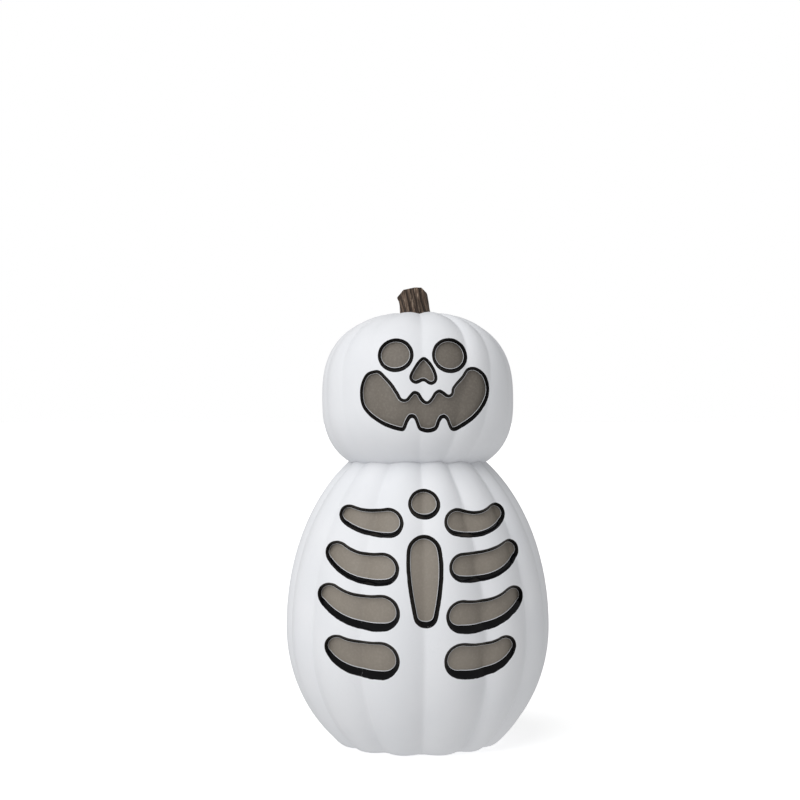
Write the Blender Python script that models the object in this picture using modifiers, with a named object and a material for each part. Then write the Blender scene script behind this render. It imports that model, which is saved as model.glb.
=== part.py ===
"""Stacked-pumpkin skeleton figure: two lobed shells with window openings, a stem, and a battery light inside.

The front faces -Y, the figure stands on z = 0, and every size is in metres."""

import math

import bmesh
import bpy
from mathutils import Matrix

MM = 0.001
GAP = 0.3 * MM  # left between pieces that touch
WALL = 4.0 * MM  # both shells

# Body shell: an egg, fuller below its widest ring than above
BODY_RADIUS = 110.0 * MM
BODY_WIDEST_Z = 97.0 * MM
BODY_RISE = 162.0 * MM
BODY_DROP = 121.0 * MM
BODY_CREASE = 3.0 * MM
BODY_CREASES = (0, 27, 52, 74, 100, 126, 152, 178, 204, 230, 256, 282, 305, 332)
NECK_RADIUS = 47.0 * MM  # rim of the body's top opening
FOOT_RADIUS = 62.0 * MM
FOOT_TUCK = 3.0 * MM  # height over which the foot rounds into the body

# Head shell: a squat, squarer pumpkin, dipped round its stem and tilted back
HEAD_RADIUS = 80.0 * MM
HEAD_WIDEST_Z = 288.0 * MM
HEAD_RISE = 71.5 * MM
HEAD_DROP = 65.0 * MM
HEAD_SQUARENESS = 2.5
HEAD_CREASE = 2.6 * MM
HEAD_CREASES = (0, 38, 59, 80, 104, 129, 154, 180, 206, 231, 257, 285, 304, 322)
HEAD_DIP = 7.0 * MM
HEAD_DIP_RADIUS = 32.0 * MM
HEAD_TILT = math.radians(5.0)
HEAD_BACK = 2.0 * MM
HEAD_TOP_HOLE = 5.2 * MM
HEAD_LOWEST = math.radians(-62.0)  # where the head's section ends, inside the body

# Where each lobe is sampled, as shares of its width from one crease to the next
LOBE_COLUMNS = (0.0, 0.16, 0.5, 0.84)
CREASE_SHARPNESS = 2.2

# Windows, in millimetres across (x) and up (z): outlines of the painted lip, and the opening inside it
LIP = 2.6 * MM
EYES = ((-20.9, 322.8, 14.5, 13.7, 25), (22.5, 322.6, 14.8, 14.3, -20))  # x, z, half axes, tilt
CHEST_ROUND = (1.2, 204.3, 12.9, 12.0, 0)
BREASTBONE = ((0.4, 167.1, 14.0), (0.9, 147.5, 14.3), (1.1, 118.9, 9.9))  # circles x, z, radius
RIBS = (
    ((-27.0, 190.0, 11.7), (-43.0, 190.1, 10.3), (-57.4, 194.6, 8.6)),
    ((-32.2, 154.5, 12.9), (-51.6, 155.6, 12.2), (-67.0, 164.7, 10.2)),
    ((-33.4, 120.7, 14.5), (-55.2, 122.1, 13.1), (-73.1, 131.7, 10.4)),
    ((-34.6, 83.3, 15.5), (-54.0, 84.7, 14.1), (-67.6, 91.6, 10.5)),
    ((27.4, 190.4, 10.9), (45.0, 188.5, 10.1), (59.4, 194.9, 9.1)),
    ((31.2, 155.5, 11.6), (53.0, 157.3, 11.9), (69.8, 166.1, 9.2)),
    ((30.2, 117.6, 13.4), (54.0, 119.2, 12.0), (72.3, 129.9, 9.5)),
    ((30.1, 82.9, 14.8), (51.0, 83.3, 13.4), (65.3, 91.6, 9.5)),
)
NOSE = (
    (1.4, 321.6), (-2.6, 319.2), (-7.5, 312.4), (-10.6, 305.7), (-8.8, 301.3), (-5.2, 299.7),
    (-2.0, 300.7), (1.1, 301.8), (4.3, 299.8), (7.5, 298.9), (11.1, 300.9), (12.3, 305.3),
    (10.0, 312.5), (5.3, 319.2),
)
MOUTH = (
    (-37.8, 311.0), (-44.9, 307.7), (-49.2, 297.2), (-48.5, 284.1), (-43.5, 275.6), (-35.0, 268.8),
    (-26.5, 264.6), (-16.6, 261.9), (-13.4, 263.8), (-11.4, 268.8), (-9.2, 272.4), (-6.6, 271.8),
    (-4.9, 267.4), (-3.2, 263.6), (-0.8, 261.9), (4.7, 260.7), (10.2, 262.2), (12.8, 265.0),
    (14.4, 269.6), (16.6, 272.3), (19.0, 270.8), (20.8, 266.4), (23.0, 262.8), (27.1, 262.1),
    (33.6, 265.6), (42.6, 271.9), (50.3, 280.5), (55.0, 290.0), (55.5, 298.8), (52.1, 307.6),
    (45.8, 312.7), (40.4, 313.8), (35.7, 311.9), (31.8, 306.2), (26.7, 300.9), (23.6, 296.6),
    (22.9, 292.6), (20.8, 291.6), (17.4, 293.9), (13.6, 295.6), (9.5, 293.5), (6.6, 289.0),
    (3.6, 286.2), (0.6, 288.4), (-2.4, 293.2), (-7.0, 294.4), (-10.6, 291.2), (-13.2, 288.3),
    (-16.4, 288.7), (-19.2, 293.4), (-23.7, 300.2), (-29.3, 306.7), (-33.4, 310.4),
)
LOOP_STEPS = 2  # points added between two of an outline

# Stem, with a peg through the head
STEM_RADIUS = 12.6 * MM
STEM_FOOT_Z = 350.0 * MM  # below the head's dip, which cuts it to fit
STEM_TOP_Z = 381.0 * MM
STEM_LEAN = -3.2 * MM
STEM_X = -1.6 * MM
STEM_CUT_SLOPE = 0.34  # fall of the cut top towards its left
STEM_FLUTES = 9
STEM_FLUTE_SHARE = 0.07
PEG_DROP = 12.0 * MM
CLIP_RADIUS = 9.0 * MM
CLIP_THICK = 1.2 * MM

# Translucent liners behind the windows
LINER_THICK = 1.2 * MM
LINER_STANDOFF = 0.9 * MM
BODY_LINER_ANGLE = 58.0
BODY_LINER_Z = (56.0 * MM, 226.0 * MM)
HEAD_LINER_ANGLE = 54.0
HEAD_LINER_Z = (254.0 * MM, 344.0 * MM)

# Base plate in the foot opening
PLATE_Z = 1.8 * MM
PLATE_THICK = 2.8 * MM
PLATE_RADIUS = 53.6 * MM
PLATE_CLEARANCE = 0.5 * MM
LEDGE_WIDTH = 6.6 * MM
LEDGE_RADIUS = PLATE_RADIUS - LEDGE_WIDTH
LEDGE_THICK = 4.0 * MM
SCREW_CIRCLE = (PLATE_RADIUS + LEDGE_RADIUS) / 2
SCREW_SHANK = 1.3 * MM
SCREW_HEAD = 2.5 * MM
SCREW_HEAD_HIGH = 1.0 * MM
SCREW_REACH = 4.0 * MM
SCREW_CROSS = (1.6 * MM, 0.3 * MM)  # half length and half width of the driver's cross

# Battery bay, moulded with the base plate
CELL_RADIUS = 7.25 * MM
CELL_LENGTH = 50.5 * MM
CELL_NUB = 1.2 * MM
CELL_NUB_RADIUS = 2.7 * MM
CELL_SPACE = 1.0 * MM  # between neighbouring cells
CELL_PITCH = 2 * CELL_RADIUS + CELL_SPACE
BAY_SIDE = 0.85 * MM
SPRING_ROOM = 7.5 * MM  # springs and contacts, beyond the cell's length
BAY_HALF_LENGTH = (CELL_LENGTH + SPRING_ROOM) / 2
BAY_WALL = 1.6 * MM
CONTACT_THICK = 0.5 * MM
CONTACT_SIZE = 11.0 * MM
SPRING_RADIUS = 4.0 * MM
SPRING_WIRE = 0.4 * MM
SPRING_TURNS = 3.5

# Battery door
DOOR_THICK = 2.0 * MM
GRIP_FIRST_Y = -4.0 * MM
GRIP_PITCH = 2.4 * MM
GRIP_WIDTH = 1.1 * MM
GRIP_HALF_LENGTH = 8.0 * MM
GRIP_DEPTH = 0.5 * MM
DOOR_SIDE_LAP = 1.9 * MM  # over the bay's opening
DOOR_FRONT_LAP = 5.0 * MM
DOOR_HALF_WIDTH = CELL_PITCH + CELL_RADIUS + BAY_SIDE + DOOR_SIDE_LAP
DOOR_FRONT_Y = -(BAY_HALF_LENGTH + BAY_WALL + DOOR_FRONT_LAP)
DOOR_CLEARANCE = 0.4 * MM
WELL_WALL = 1.6 * MM
WELL_ROOF = 2.0 * MM
HINGE_OUT = 4.0 * MM  # behind the bay's wall
HINGE_Y = BAY_HALF_LENGTH + BAY_WALL + HINGE_OUT
DOOR_BACK_INSET = 1.6 * MM
DOOR_BACK_Y = HINGE_Y - DOOR_BACK_INSET
KNUCKLE_RADIUS = 2.2 * MM
DOOR_KNUCKLE_HALF = 9.4 * MM
PLATE_KNUCKLE = 5.0 * MM
KNUCKLE_CLEARANCE = 1.0 * MM  # the door's edge swings round the plate's knuckles
PIN_RADIUS = 1.0 * MM
PIN_CLEARANCE = 0.06 * MM
DOOR_SCREW_INSET = 3.2 * MM
DOOR_SCREW_Y = DOOR_FRONT_Y + DOOR_SCREW_INSET
DOOR_SCREW_SHANK = 1.4 * MM
DOOR_SCREW_REACH = 5.2 * MM
DOOR_SCREW_FIT = 0.08 * MM
DOOR_SCREW_CLEARANCE = 0.5 * MM
DOOR_BACK_CLEARANCE = 1.0 * MM  # the door's back edge swings up past the plate

# Switch
SWITCH_X = -37.0 * MM
SWITCH_TRAVEL = 2.0 * MM
SWITCH_HOUSING = (7.0 * MM, 14.0 * MM, 6.5 * MM)
SLIDER = (4.4 * MM, 4.8 * MM, 3.6 * MM)
STALK = (3.0 * MM, 3.2 * MM)
KNOB = (5.0 * MM, 5.2 * MM, 0.9 * MM)

# Light: board on the battery bay, mast to a shelf on the body's rim, second board in the head
BOARD = (42.0 * MM, 34.0 * MM, 1.6 * MM)
BOARD_Y = -9.0 * MM
BOARD_SCREWS = (0, 3)  # the posts that carry a screw
POST_HIGH = 2.0 * MM
POST_RADIUS = 3.0 * MM
POST_X = 17.0 * MM
POST_Y = 13.0 * MM
CHIP = (10.0 * MM, 8.0 * MM, 1.8 * MM)
LED_RADIUS = 2.5 * MM
LED_HIGH = 8.6 * MM
BODY_LED = (10.0 * MM, -12.0 * MM)  # from the board's middle, across and back
HEAD_LED = (6.0 * MM, -3.0 * MM)
MAST_Y = 18.0 * MM
MAST_RADIUS = 4.0 * MM
MAST_WALL = 1.4 * MM
MAST_FLANGE = (7.0 * MM, 2.0 * MM)
SHELF_THICK = 2.0 * MM
SHELF_OVER_RIM = 0.6 * MM
HEAD_BOARD = (24.0 * MM, 24.0 * MM, 1.6 * MM)
HEAD_BOARD_Y = -8.0 * MM
HEAD_POST_HIGH = 3.3 * MM
HEAD_POST_RADIUS = 2.5 * MM
HEAD_POST_OUT = 8.0 * MM  # from the board's middle, both ways
SHELF_HOLE = (30.0 * MM, 10.0 * MM)  # place across and radius of the holes that let light up
LEAD_OUT = 1.5 * MM  # leads run in pairs, this far either side of their middle
WIRE_RADIUS = 0.8 * MM

# (base colour, roughness, metallic) of each material
FINISHES = {
    "shell_white": ((0.83, 0.84, 0.86, 1), 0.35, 0.0),
    "stem_brown": ((0.14, 0.09, 0.06, 1), 0.7, 0.0),
    "liner_taupe": ((0.24, 0.21, 0.17, 1), 0.5, 0.0),
    "base_black": ((0.03, 0.03, 0.035, 1), 0.45, 0.0),
    "steel": ((0.6, 0.6, 0.62, 1), 0.3, 1.0),
    "cell_wrap": ((0.05, 0.12, 0.1, 1), 0.35, 0.0),
    "board_green": ((0.02, 0.14, 0.05, 1), 0.4, 0.0),
    "chip_black": ((0.02, 0.02, 0.02, 1), 0.5, 0.0),
    "led_clear": ((0.85, 0.75, 0.5, 1), 0.1, 0.0),
    "wire_red": ((0.5, 0.02, 0.02, 1), 0.4, 0.0),
    "wire_black": ((0.02, 0.02, 0.02, 1), 0.4, 0.0),
}


# ---- helpers -------------------------------------------------------------------------------------


def clear_scene():
    for obj in list(bpy.data.objects):
        bpy.data.objects.remove(obj)


def new_collection(name, hidden=False):
    collection = bpy.data.collections.new(name)
    bpy.context.scene.collection.children.link(collection)
    collection.hide_render = hidden
    return collection


def make_finishes():
    for name, (colour, roughness, metallic) in FINISHES.items():
        material = bpy.data.materials.new(name)
        material.use_nodes = True
        shader = material.node_tree.nodes["Principled BSDF"]
        shader.inputs["Base Color"].default_value = colour
        shader.inputs["Roughness"].default_value = roughness
        shader.inputs["Metallic"].default_value = metallic


def add_object(name, bm, finish=None):
    """The bmesh as an object: a piece if it has a finish, or else a cutter."""
    bmesh.ops.recalc_face_normals(bm, faces=bm.faces)
    mesh = bpy.data.meshes.new(name)
    bm.to_mesh(mesh)
    bm.free()
    obj = bpy.data.objects.new(name, mesh)
    if finish:
        mesh.materials.append(bpy.data.materials[finish])
        PIECES.objects.link(obj)
    else:
        CUTTERS.objects.link(obj)
        obj.hide_render = True
        obj.display_type = "WIRE"
    return obj


def boolean(obj, other, operation):
    modifier = obj.modifiers.new(other.name, "BOOLEAN")
    modifier.object = other
    modifier.operation = operation
    modifier.solver = "EXACT"


def cut(obj, *cutters):
    for cutter in cutters:
        boolean(obj, cutter, "DIFFERENCE")


def join(obj, *others):
    for other in others:
        boolean(obj, other, "UNION")


def shade(obj, degrees=35.0):
    obj.data.shade_smooth()
    obj.data.set_sharp_from_angle(angle=math.radians(degrees))


def box(name, low, high, finish=None):
    bm = bmesh.new()
    bmesh.ops.create_cube(bm, size=1.0)
    for vert in bm.verts:
        vert.co = [low[i] + (vert.co[i] + 0.5) * (high[i] - low[i]) for i in range(3)]
    return add_object(name, bm, finish)


def rod(name, centre, radius, low, high, finish=None, axis="Z", sides=24):
    """A cylinder from low to high along its axis; centre is its place in the other two directions."""
    bm = bmesh.new()
    middle = (low + high) / 2
    bmesh.ops.create_cone(bm, cap_ends=True, segments=sides, radius1=radius, radius2=radius, depth=high - low)
    if axis == "X":
        bm.transform(Matrix.Rotation(math.pi / 2, 4, "Y"))
        bm.transform(Matrix.Translation((middle, *centre)))
    elif axis == "Y":
        bm.transform(Matrix.Rotation(math.pi / 2, 4, "X"))
        bm.transform(Matrix.Translation((centre[0], middle, centre[1])))
    else:
        bm.transform(Matrix.Translation((*centre, middle)))
    return add_object(name, bm, finish)


def wire(name, points, radius, finish, sides_level=1):
    """A round wire through the points, with closed ends."""
    curve = bpy.data.curves.new(name, "CURVE")
    curve.dimensions = "3D"
    curve.bevel_depth = radius
    curve.bevel_resolution = sides_level
    curve.use_fill_caps = True
    spline = curve.splines.new("POLY")
    spline.points.add(len(points) - 1)
    for place, point in zip(spline.points, points):
        place.co = (*point, 1.0)
    guide = bpy.data.objects.new(name + "_guide", curve)
    return meshed(name, guide, finish)


def meshed(name, guide, finish=None):
    """The curve object as a welded mesh object; the curve is removed."""
    bpy.context.scene.collection.objects.link(guide)
    bpy.context.view_layer.update()
    graph = bpy.context.evaluated_depsgraph_get()
    mesh = bpy.data.meshes.new_from_object(guide.evaluated_get(graph))
    mesh.transform(guide.matrix_world)
    bm = bmesh.new()
    bm.from_mesh(mesh)
    bmesh.ops.remove_doubles(bm, verts=bm.verts, dist=0.001 * MM)
    bpy.data.meshes.remove(mesh)
    bpy.data.objects.remove(guide)
    return add_object(name, bm, finish)


# ---- pumpkin surfaces ----------------------------------------------------------------------------


def body_station(t):
    """(radius, height) of the body's outer face at angle t, which is 90 degrees at its top."""
    tall = BODY_RISE if t > 0 else BODY_DROP
    return BODY_RADIUS * math.cos(t), BODY_WIDEST_Z + tall * math.sin(t)


def head_station(t):
    """(radius, height) of the head's outer face before its tilt."""
    tall = HEAD_RISE if t > 0 else HEAD_DROP
    power = 2 / HEAD_SQUARENESS
    radius = HEAD_RADIUS * abs(math.cos(t)) ** power
    height = HEAD_WIDEST_Z + tall * math.copysign(abs(math.sin(t)) ** power, t)
    if t > 0:
        height -= HEAD_DIP * max(0.0, 1 - radius / HEAD_DIP_RADIUS) ** 2
    return radius, height


def outward(station, t):
    step = 0.01
    (r0, z0), (r1, z1) = station(t - step), station(t + step)
    size = math.hypot(r1 - r0, z1 - z0)
    return (z1 - z0) / size, (r0 - r1) / size


def offset_station(station, t, inwards):
    r, z = station(t)
    nr, nz = outward(station, t)
    return r - nr * inwards, z - nz * inwards


def angles(low, high, count):
    return [low + (high - low) * i / (count - 1) for i in range(count)]


def angle_at_height(station, height, low, high):
    """The angle between low and high at which the station reaches this height."""
    for _ in range(40):
        middle = (low + high) / 2
        if station(middle)[1] < height:
            low = middle
        else:
            high = middle
    return (low + high) / 2


def skin(station, stops, inwards=0.0):
    """Section points (r, z, crease direction r and z); creases get shallower towards the top and foot."""
    section = []
    widest = station(0.0)[0]
    for t in stops:
        r, z = offset_station(station, t, inwards)
        nr, nz = outward(station, t)
        share = min(1.0, 1.4 * station(t)[0] / widest)
        section.append((r, z, -nr * share, -nz * share))
    return section


def columns(creases):
    """(azimuth in radians, depth share) of every column; the share is 1 in a crease and 0 in mid lobe."""
    found = []
    for i, start in enumerate(creases):
        end = creases[(i + 1) % len(creases)] + (360 if i + 1 == len(creases) else 0)
        for share in LOBE_COLUMNS:
            from_crease = 2 * min(share, 1 - share)
            found.append((math.radians(start + (end - start) * share), (1 - from_crease) ** CREASE_SHARPNESS))
    return found


def lobed(name, section, creases, depth, finish=None, closed=True):
    """The section turned about Z, pushed in by depth along its crease direction at each crease."""
    around = columns(creases)
    rows = len(section) if closed else len(section) - 1
    bm = bmesh.new()
    bmesh.ops.create_grid(bm, x_segments=len(around), y_segments=rows, size=1.0)
    for vert in bm.verts:
        azimuth, share = around[round((vert.co.x + 1) / 2 * len(around)) % len(around)]
        r, z, dr, dz = section[round((vert.co.y + 1) / 2 * rows) % len(section)]
        r = max(0.0, r + dr * depth * share)
        vert.co = (r * math.sin(azimuth), -r * math.cos(azimuth), z + dz * depth * share)
    bmesh.ops.remove_doubles(bm, verts=bm.verts, dist=0.01 * MM)
    return add_object(name, bm, finish)


def head_tilt():
    """Moves a piece of the head from upright on Z to its place."""
    pivot = Matrix.Translation((0, 0, HEAD_WIDEST_Z))
    turn = Matrix.Rotation(-HEAD_TILT, 4, "X")
    return Matrix.Translation((0, HEAD_BACK, 0)) @ pivot @ turn @ pivot.inverted()


# ---- windows -------------------------------------------------------------------------------------


def oval(x, z, across, up, tilt, count=24):
    turn = math.radians(tilt)
    loop = []
    for i in range(count):
        a = 2 * math.pi * i / count
        u, v = across * math.cos(a), up * math.sin(a)
        cos, sin = math.cos(turn), math.sin(turn)
        loop.append((x + u * cos - v * sin, z + u * sin + v * cos))
    return loop


def bean(circles, steps=5, cap=6):
    """Closed outline of a circle that runs through the three given ones, changing its radius on the way."""

    def at(t):
        weights = ((2 * t - 1) * (t - 1), 4 * t * (1 - t), t * (2 * t - 1))
        return [sum(w * c[k] for w, c in zip(weights, circles)) for k in range(3)]

    def edge(t):
        (x0, z0, r0), (x1, z1, r1) = at(t - 0.001), at(t + 0.001)
        run = math.hypot(x1 - x0, z1 - z0)
        return math.atan2(z1 - z0, x1 - x0), math.pi / 2 + math.asin((r1 - r0) / run)

    def point(t, angle):
        x, z, r = at(t)
        return x + r * math.cos(angle), z + r * math.sin(angle)

    loop = []
    for side in (1, -1):
        for i in range(steps):
            t = i / (steps - 1) if side == 1 else 1 - i / (steps - 1)
            heading, lean = edge(t)
            loop.append(point(t, heading + side * lean))
        end = 1.0 if side == 1 else 0.0
        heading, lean = edge(end)
        start, sweep = (lean, -2 * lean) if side == 1 else (-lean, -2 * (math.pi - lean))
        for i in range(1, cap):
            loop.append(point(end, heading + start + sweep * i / cap))
    return loop


def smooth_loop(points, steps=LOOP_STEPS):
    """A closed Catmull-Rom line through the points."""
    loop = []
    count = len(points)
    for i in range(count):
        p0, p1, p2, p3 = (points[(i + k) % count] for k in (-1, 0, 1, 2))
        for j in range(steps):
            t = j / steps
            loop.append(tuple(
                0.5 * (2 * p1[k] + (p2[k] - p0[k]) * t + (2 * p0[k] - 5 * p1[k] + 4 * p2[k] - p3[k]) * t * t
                       + (3 * p1[k] - p0[k] - 3 * p2[k] + p3[k]) * t ** 3)
                for k in (0, 1)))
    return loop


def signed_area(loop):
    return sum(a[0] * b[1] - b[0] * a[1] for a, b in zip(loop, loop[1:] + loop[:1])) / 2


def distance_to(loop, point):
    nearest = math.inf
    for a, b in zip(loop, loop[1:] + loop[:1]):
        run = (b[0] - a[0], b[1] - a[1])
        share = ((point[0] - a[0]) * run[0] + (point[1] - a[1]) * run[1]) / (run[0] ** 2 + run[1] ** 2)
        share = min(1.0, max(0.0, share))
        nearest = min(nearest, math.hypot(point[0] - a[0] - run[0] * share, point[1] - a[1] - run[1] * share))
    return nearest


def inset(loop, width):
    """The loop moved inwards by width, without the points that would fold over."""
    turn = 1 if signed_area(loop) > 0 else -1
    found = []
    for i, point in enumerate(loop):
        before, after = loop[i - 1], loop[(i + 1) % len(loop)]
        run = (after[0] - before[0], after[1] - before[1])
        size = math.hypot(*run)
        moved = (point[0] - turn * run[1] / size * width, point[1] + turn * run[0] / size * width)
        if distance_to(loop, moved) > 0.9 * width:
            found.append(moved)
    return found


def window_cutter(name, outline, far_y, near_y):
    """The opening inside an outline in millimetres, as a bar along Y."""
    loop = inset(outline, LIP / MM)
    curve = bpy.data.curves.new(name, "CURVE")
    curve.dimensions = "2D"
    curve.fill_mode = "BOTH"
    curve.extrude = abs(far_y - near_y) / 2
    spline = curve.splines.new("POLY")
    spline.points.add(len(loop) - 1)
    for place, (x, z) in zip(spline.points, loop):
        place.co = (x * MM, z * MM, 0, 1.0)
    spline.use_cyclic_u = True
    guide = bpy.data.objects.new(name + "_guide", curve)
    middle = Matrix.Translation((0, (far_y + near_y) / 2, 0))
    guide.matrix_world = middle @ Matrix.Rotation(math.pi / 2, 4, "X")
    return meshed(name, guide)


def body_windows():
    outlines = {"cut_chest_round": oval(*CHEST_ROUND), "cut_breastbone": bean(BREASTBONE)}
    for i, rib in enumerate(RIBS):
        outlines[f"cut_rib_{i + 1}"] = bean(rib)
    span = (-BODY_RADIUS * 1.1, -BODY_RADIUS * 0.4)
    return [window_cutter(name, loop, *span) for name, loop in outlines.items()]


def head_windows():
    outlines = {"cut_nose": smooth_loop(NOSE), "cut_mouth": smooth_loop(MOUTH)}
    for i, eye in enumerate(EYES):
        outlines[f"cut_eye_{i + 1}"] = oval(*eye)
    span = (-HEAD_RADIUS * 1.2, -HEAD_RADIUS * 0.4)
    return [window_cutter(name, loop, *span) for name, loop in outlines.items()]


# ---- shells --------------------------------------------------------------------------------------


def rim_angle():
    return math.acos(NECK_RADIUS / BODY_RADIUS)


def rim_height():
    return body_station(rim_angle())[1]


def ledge_z():
    return PLATE_Z + PLATE_THICK + GAP


def body_shell():
    tuck = angle_at_height(body_station, FOOT_TUCK, -math.pi / 2, 0)
    floor = ledge_z() + LEDGE_THICK
    inner_end = angle_at_height(body_station, floor + FOOT_TUCK, -math.pi / 2, 0)
    outer = skin(body_station, angles(tuck, rim_angle(), 15))
    inner = skin(body_station, angles(rim_angle(), inner_end, 12), WALL)
    recess = PLATE_RADIUS + PLATE_CLEARANCE
    foot = [
        (body_station(inner_end)[0] - 2 * WALL, floor, 0, 0),
        (LEDGE_RADIUS, floor, 0, 0),
        (LEDGE_RADIUS, ledge_z(), 0, 0),
        (recess, ledge_z(), 0, 0),
        (recess, 0, 0, 0),
        (FOOT_RADIUS, 0, -0.6, 0),
    ]
    shell = lobed("body_shell", outer + inner + foot, BODY_CREASES, BODY_CREASE, "shell_white")
    cut(shell, *body_windows())
    for i, (x, y) in enumerate(screw_places()):
        hole = rod(f"cut_ledge_{i + 1}", (x, y), SCREW_SHANK + GAP, ledge_z() - GAP,
                   ledge_z() + SCREW_REACH - LEDGE_THICK * 0.3 + GAP, sides=12)
        cut(shell, hole)
    shade(shell)


def body_form():
    """The body's outside, a gap larger and closed, which cuts the seat of the head."""
    low = angle_at_height(body_station, FOOT_TUCK, -math.pi / 2, 0)
    section = skin(body_station, angles(low, math.radians(89.9), 22), -GAP)
    section.append((0, section[-1][1], 0, 0))
    section.insert(0, (0, section[0][1], 0, 0))
    return lobed("cut_head_seat", section, BODY_CREASES, BODY_CREASE, closed=False)


def head_form():
    """The head's outside, a gap larger and closed, which cuts the seat of the stem."""
    section = skin(head_station, angles(math.radians(30), math.radians(89.9), 12), -GAP)
    section.append((0, section[-1][1], 0, 0))
    section.insert(0, (0, section[0][1], 0, 0))
    form = lobed("cut_stem_seat", section, HEAD_CREASES, HEAD_CREASE, closed=False)
    form.data.transform(head_tilt())
    return form


def head_shell():
    hole = math.radians(89)
    for _ in range(60):
        if head_station(hole)[0] < HEAD_TOP_HOLE:
            hole -= math.radians(0.1)
    turn = math.radians(60)  # closer rings above this angle
    outer = skin(head_station, angles(HEAD_LOWEST, turn, 11)[:-1] + angles(turn, hole, 5))
    inner = skin(head_station, angles(hole, HEAD_LOWEST, 10), WALL)
    inner = [(max(r, HEAD_TOP_HOLE), z, dr, dz) for r, z, dr, dz in inner]
    shell = lobed("head_shell", outer + inner, HEAD_CREASES, HEAD_CREASE, "shell_white")
    shell.data.transform(head_tilt())
    cut(shell, body_form(), *head_windows())
    shade(shell)


def liner(name, station, heights, half_angle, crease, finish):
    """A curved sheet inside a shell, clear of its inward ridges."""
    low = angle_at_height(station, heights[0], -math.pi / 2, 0)
    high = angle_at_height(station, heights[1], 0, math.pi / 2)
    inwards = WALL + crease + LINER_STANDOFF
    stops = angles(low, high, 9)
    bm = bmesh.new()
    across = 16
    bmesh.ops.create_grid(bm, x_segments=across, y_segments=len(stops) - 1, size=1.0)
    for vert in bm.verts:
        azimuth = math.radians(half_angle) * vert.co.x
        r, z = offset_station(station, stops[round((vert.co.y + 1) / 2 * (len(stops) - 1))], inwards)
        vert.co = (r * math.sin(azimuth), -r * math.cos(azimuth), z)
    obj = add_object(name, bm, finish)
    solid = obj.modifiers.new("thickness", "SOLIDIFY")
    solid.thickness = LINER_THICK
    solid.offset = -1.0
    solid.use_even_offset = True
    shade(obj)
    return obj


# ---- stem ----------------------------------------------------------------------------------------


def stem():
    """A fluted stalk with a slanted cut, flared at its foot and leaning left as it rises."""
    around = STEM_FLUTES * 4
    # share of the height, share of the radius
    rings = ((0.0, 0.0), (0.0, 1.04), (0.16, 1.0), (0.45, 0.92), (0.8, 0.96), (1.0, 0.94), (1.0, 0.0))
    bm = bmesh.new()
    bmesh.ops.create_grid(bm, x_segments=around, y_segments=len(rings) - 1, size=1.0)
    for vert in bm.verts:
        column = round((vert.co.x + 1) / 2 * around) % around
        azimuth = 2 * math.pi * column / around
        rise, swell = rings[round((vert.co.y + 1) / 2 * (len(rings) - 1))]
        radius = STEM_RADIUS * swell * (1 + STEM_FLUTE_SHARE * math.cos(STEM_FLUTES * azimuth))
        x = radius * math.sin(azimuth)
        fall = STEM_CUT_SLOPE * (STEM_RADIUS - x) * rise ** 2
        z = STEM_FOOT_Z + (STEM_TOP_Z - STEM_FOOT_Z) * rise - fall
        vert.co = (STEM_X + STEM_LEAN * rise + x, -radius * math.cos(azimuth), z)
    bmesh.ops.remove_doubles(bm, verts=bm.verts, dist=0.01 * MM)
    stalk = add_object("stem", bm, "stem_brown")
    peg = rod("join_peg", (0, 0), HEAD_TOP_HOLE - GAP * 1.3, STEM_FOOT_Z - PEG_DROP, STEM_FOOT_Z + 9 * MM,
              sides=20)
    cut(stalk, head_form())
    join(stalk, peg)
    clip_top = head_station(math.radians(80))[1] - WALL - 3 * GAP - HEAD_DIP * 0.5
    clip = rod("stem_clip", (0, 0), CLIP_RADIUS, clip_top - CLIP_THICK, clip_top, "steel", sides=20)
    cut(clip, rod("cut_clip", (0, 0), HEAD_TOP_HOLE, clip_top - 2 * CLIP_THICK, clip_top + CLIP_THICK,
                  sides=20))
    for obj in (stalk, clip):
        shade(obj)
    for name in ("stem", "join_peg", "stem_clip", "cut_clip"):
        bpy.data.objects[name].data.transform(head_tilt())


# ---- base plate, battery bay and door ------------------------------------------------------------


def screw_places():
    return [(SCREW_CIRCLE * math.sin(a), -SCREW_CIRCLE * math.cos(a))
            for a in (math.radians(45 + 90 * i) for i in range(4))]


def door_top():
    return PLATE_Z + DOOR_THICK


def well_floor():
    return door_top() + GAP


def hinge_z():
    return PLATE_Z + PLATE_THICK / 2


def cell_z():
    return well_floor() + GAP * 2 + CELL_RADIUS


def bay_half_width():
    return CELL_PITCH + CELL_RADIUS + BAY_SIDE


def bay_ceiling():
    return cell_z() + CELL_RADIUS + GAP * 4


def bay_top():
    return bay_ceiling() + BAY_WALL


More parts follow.
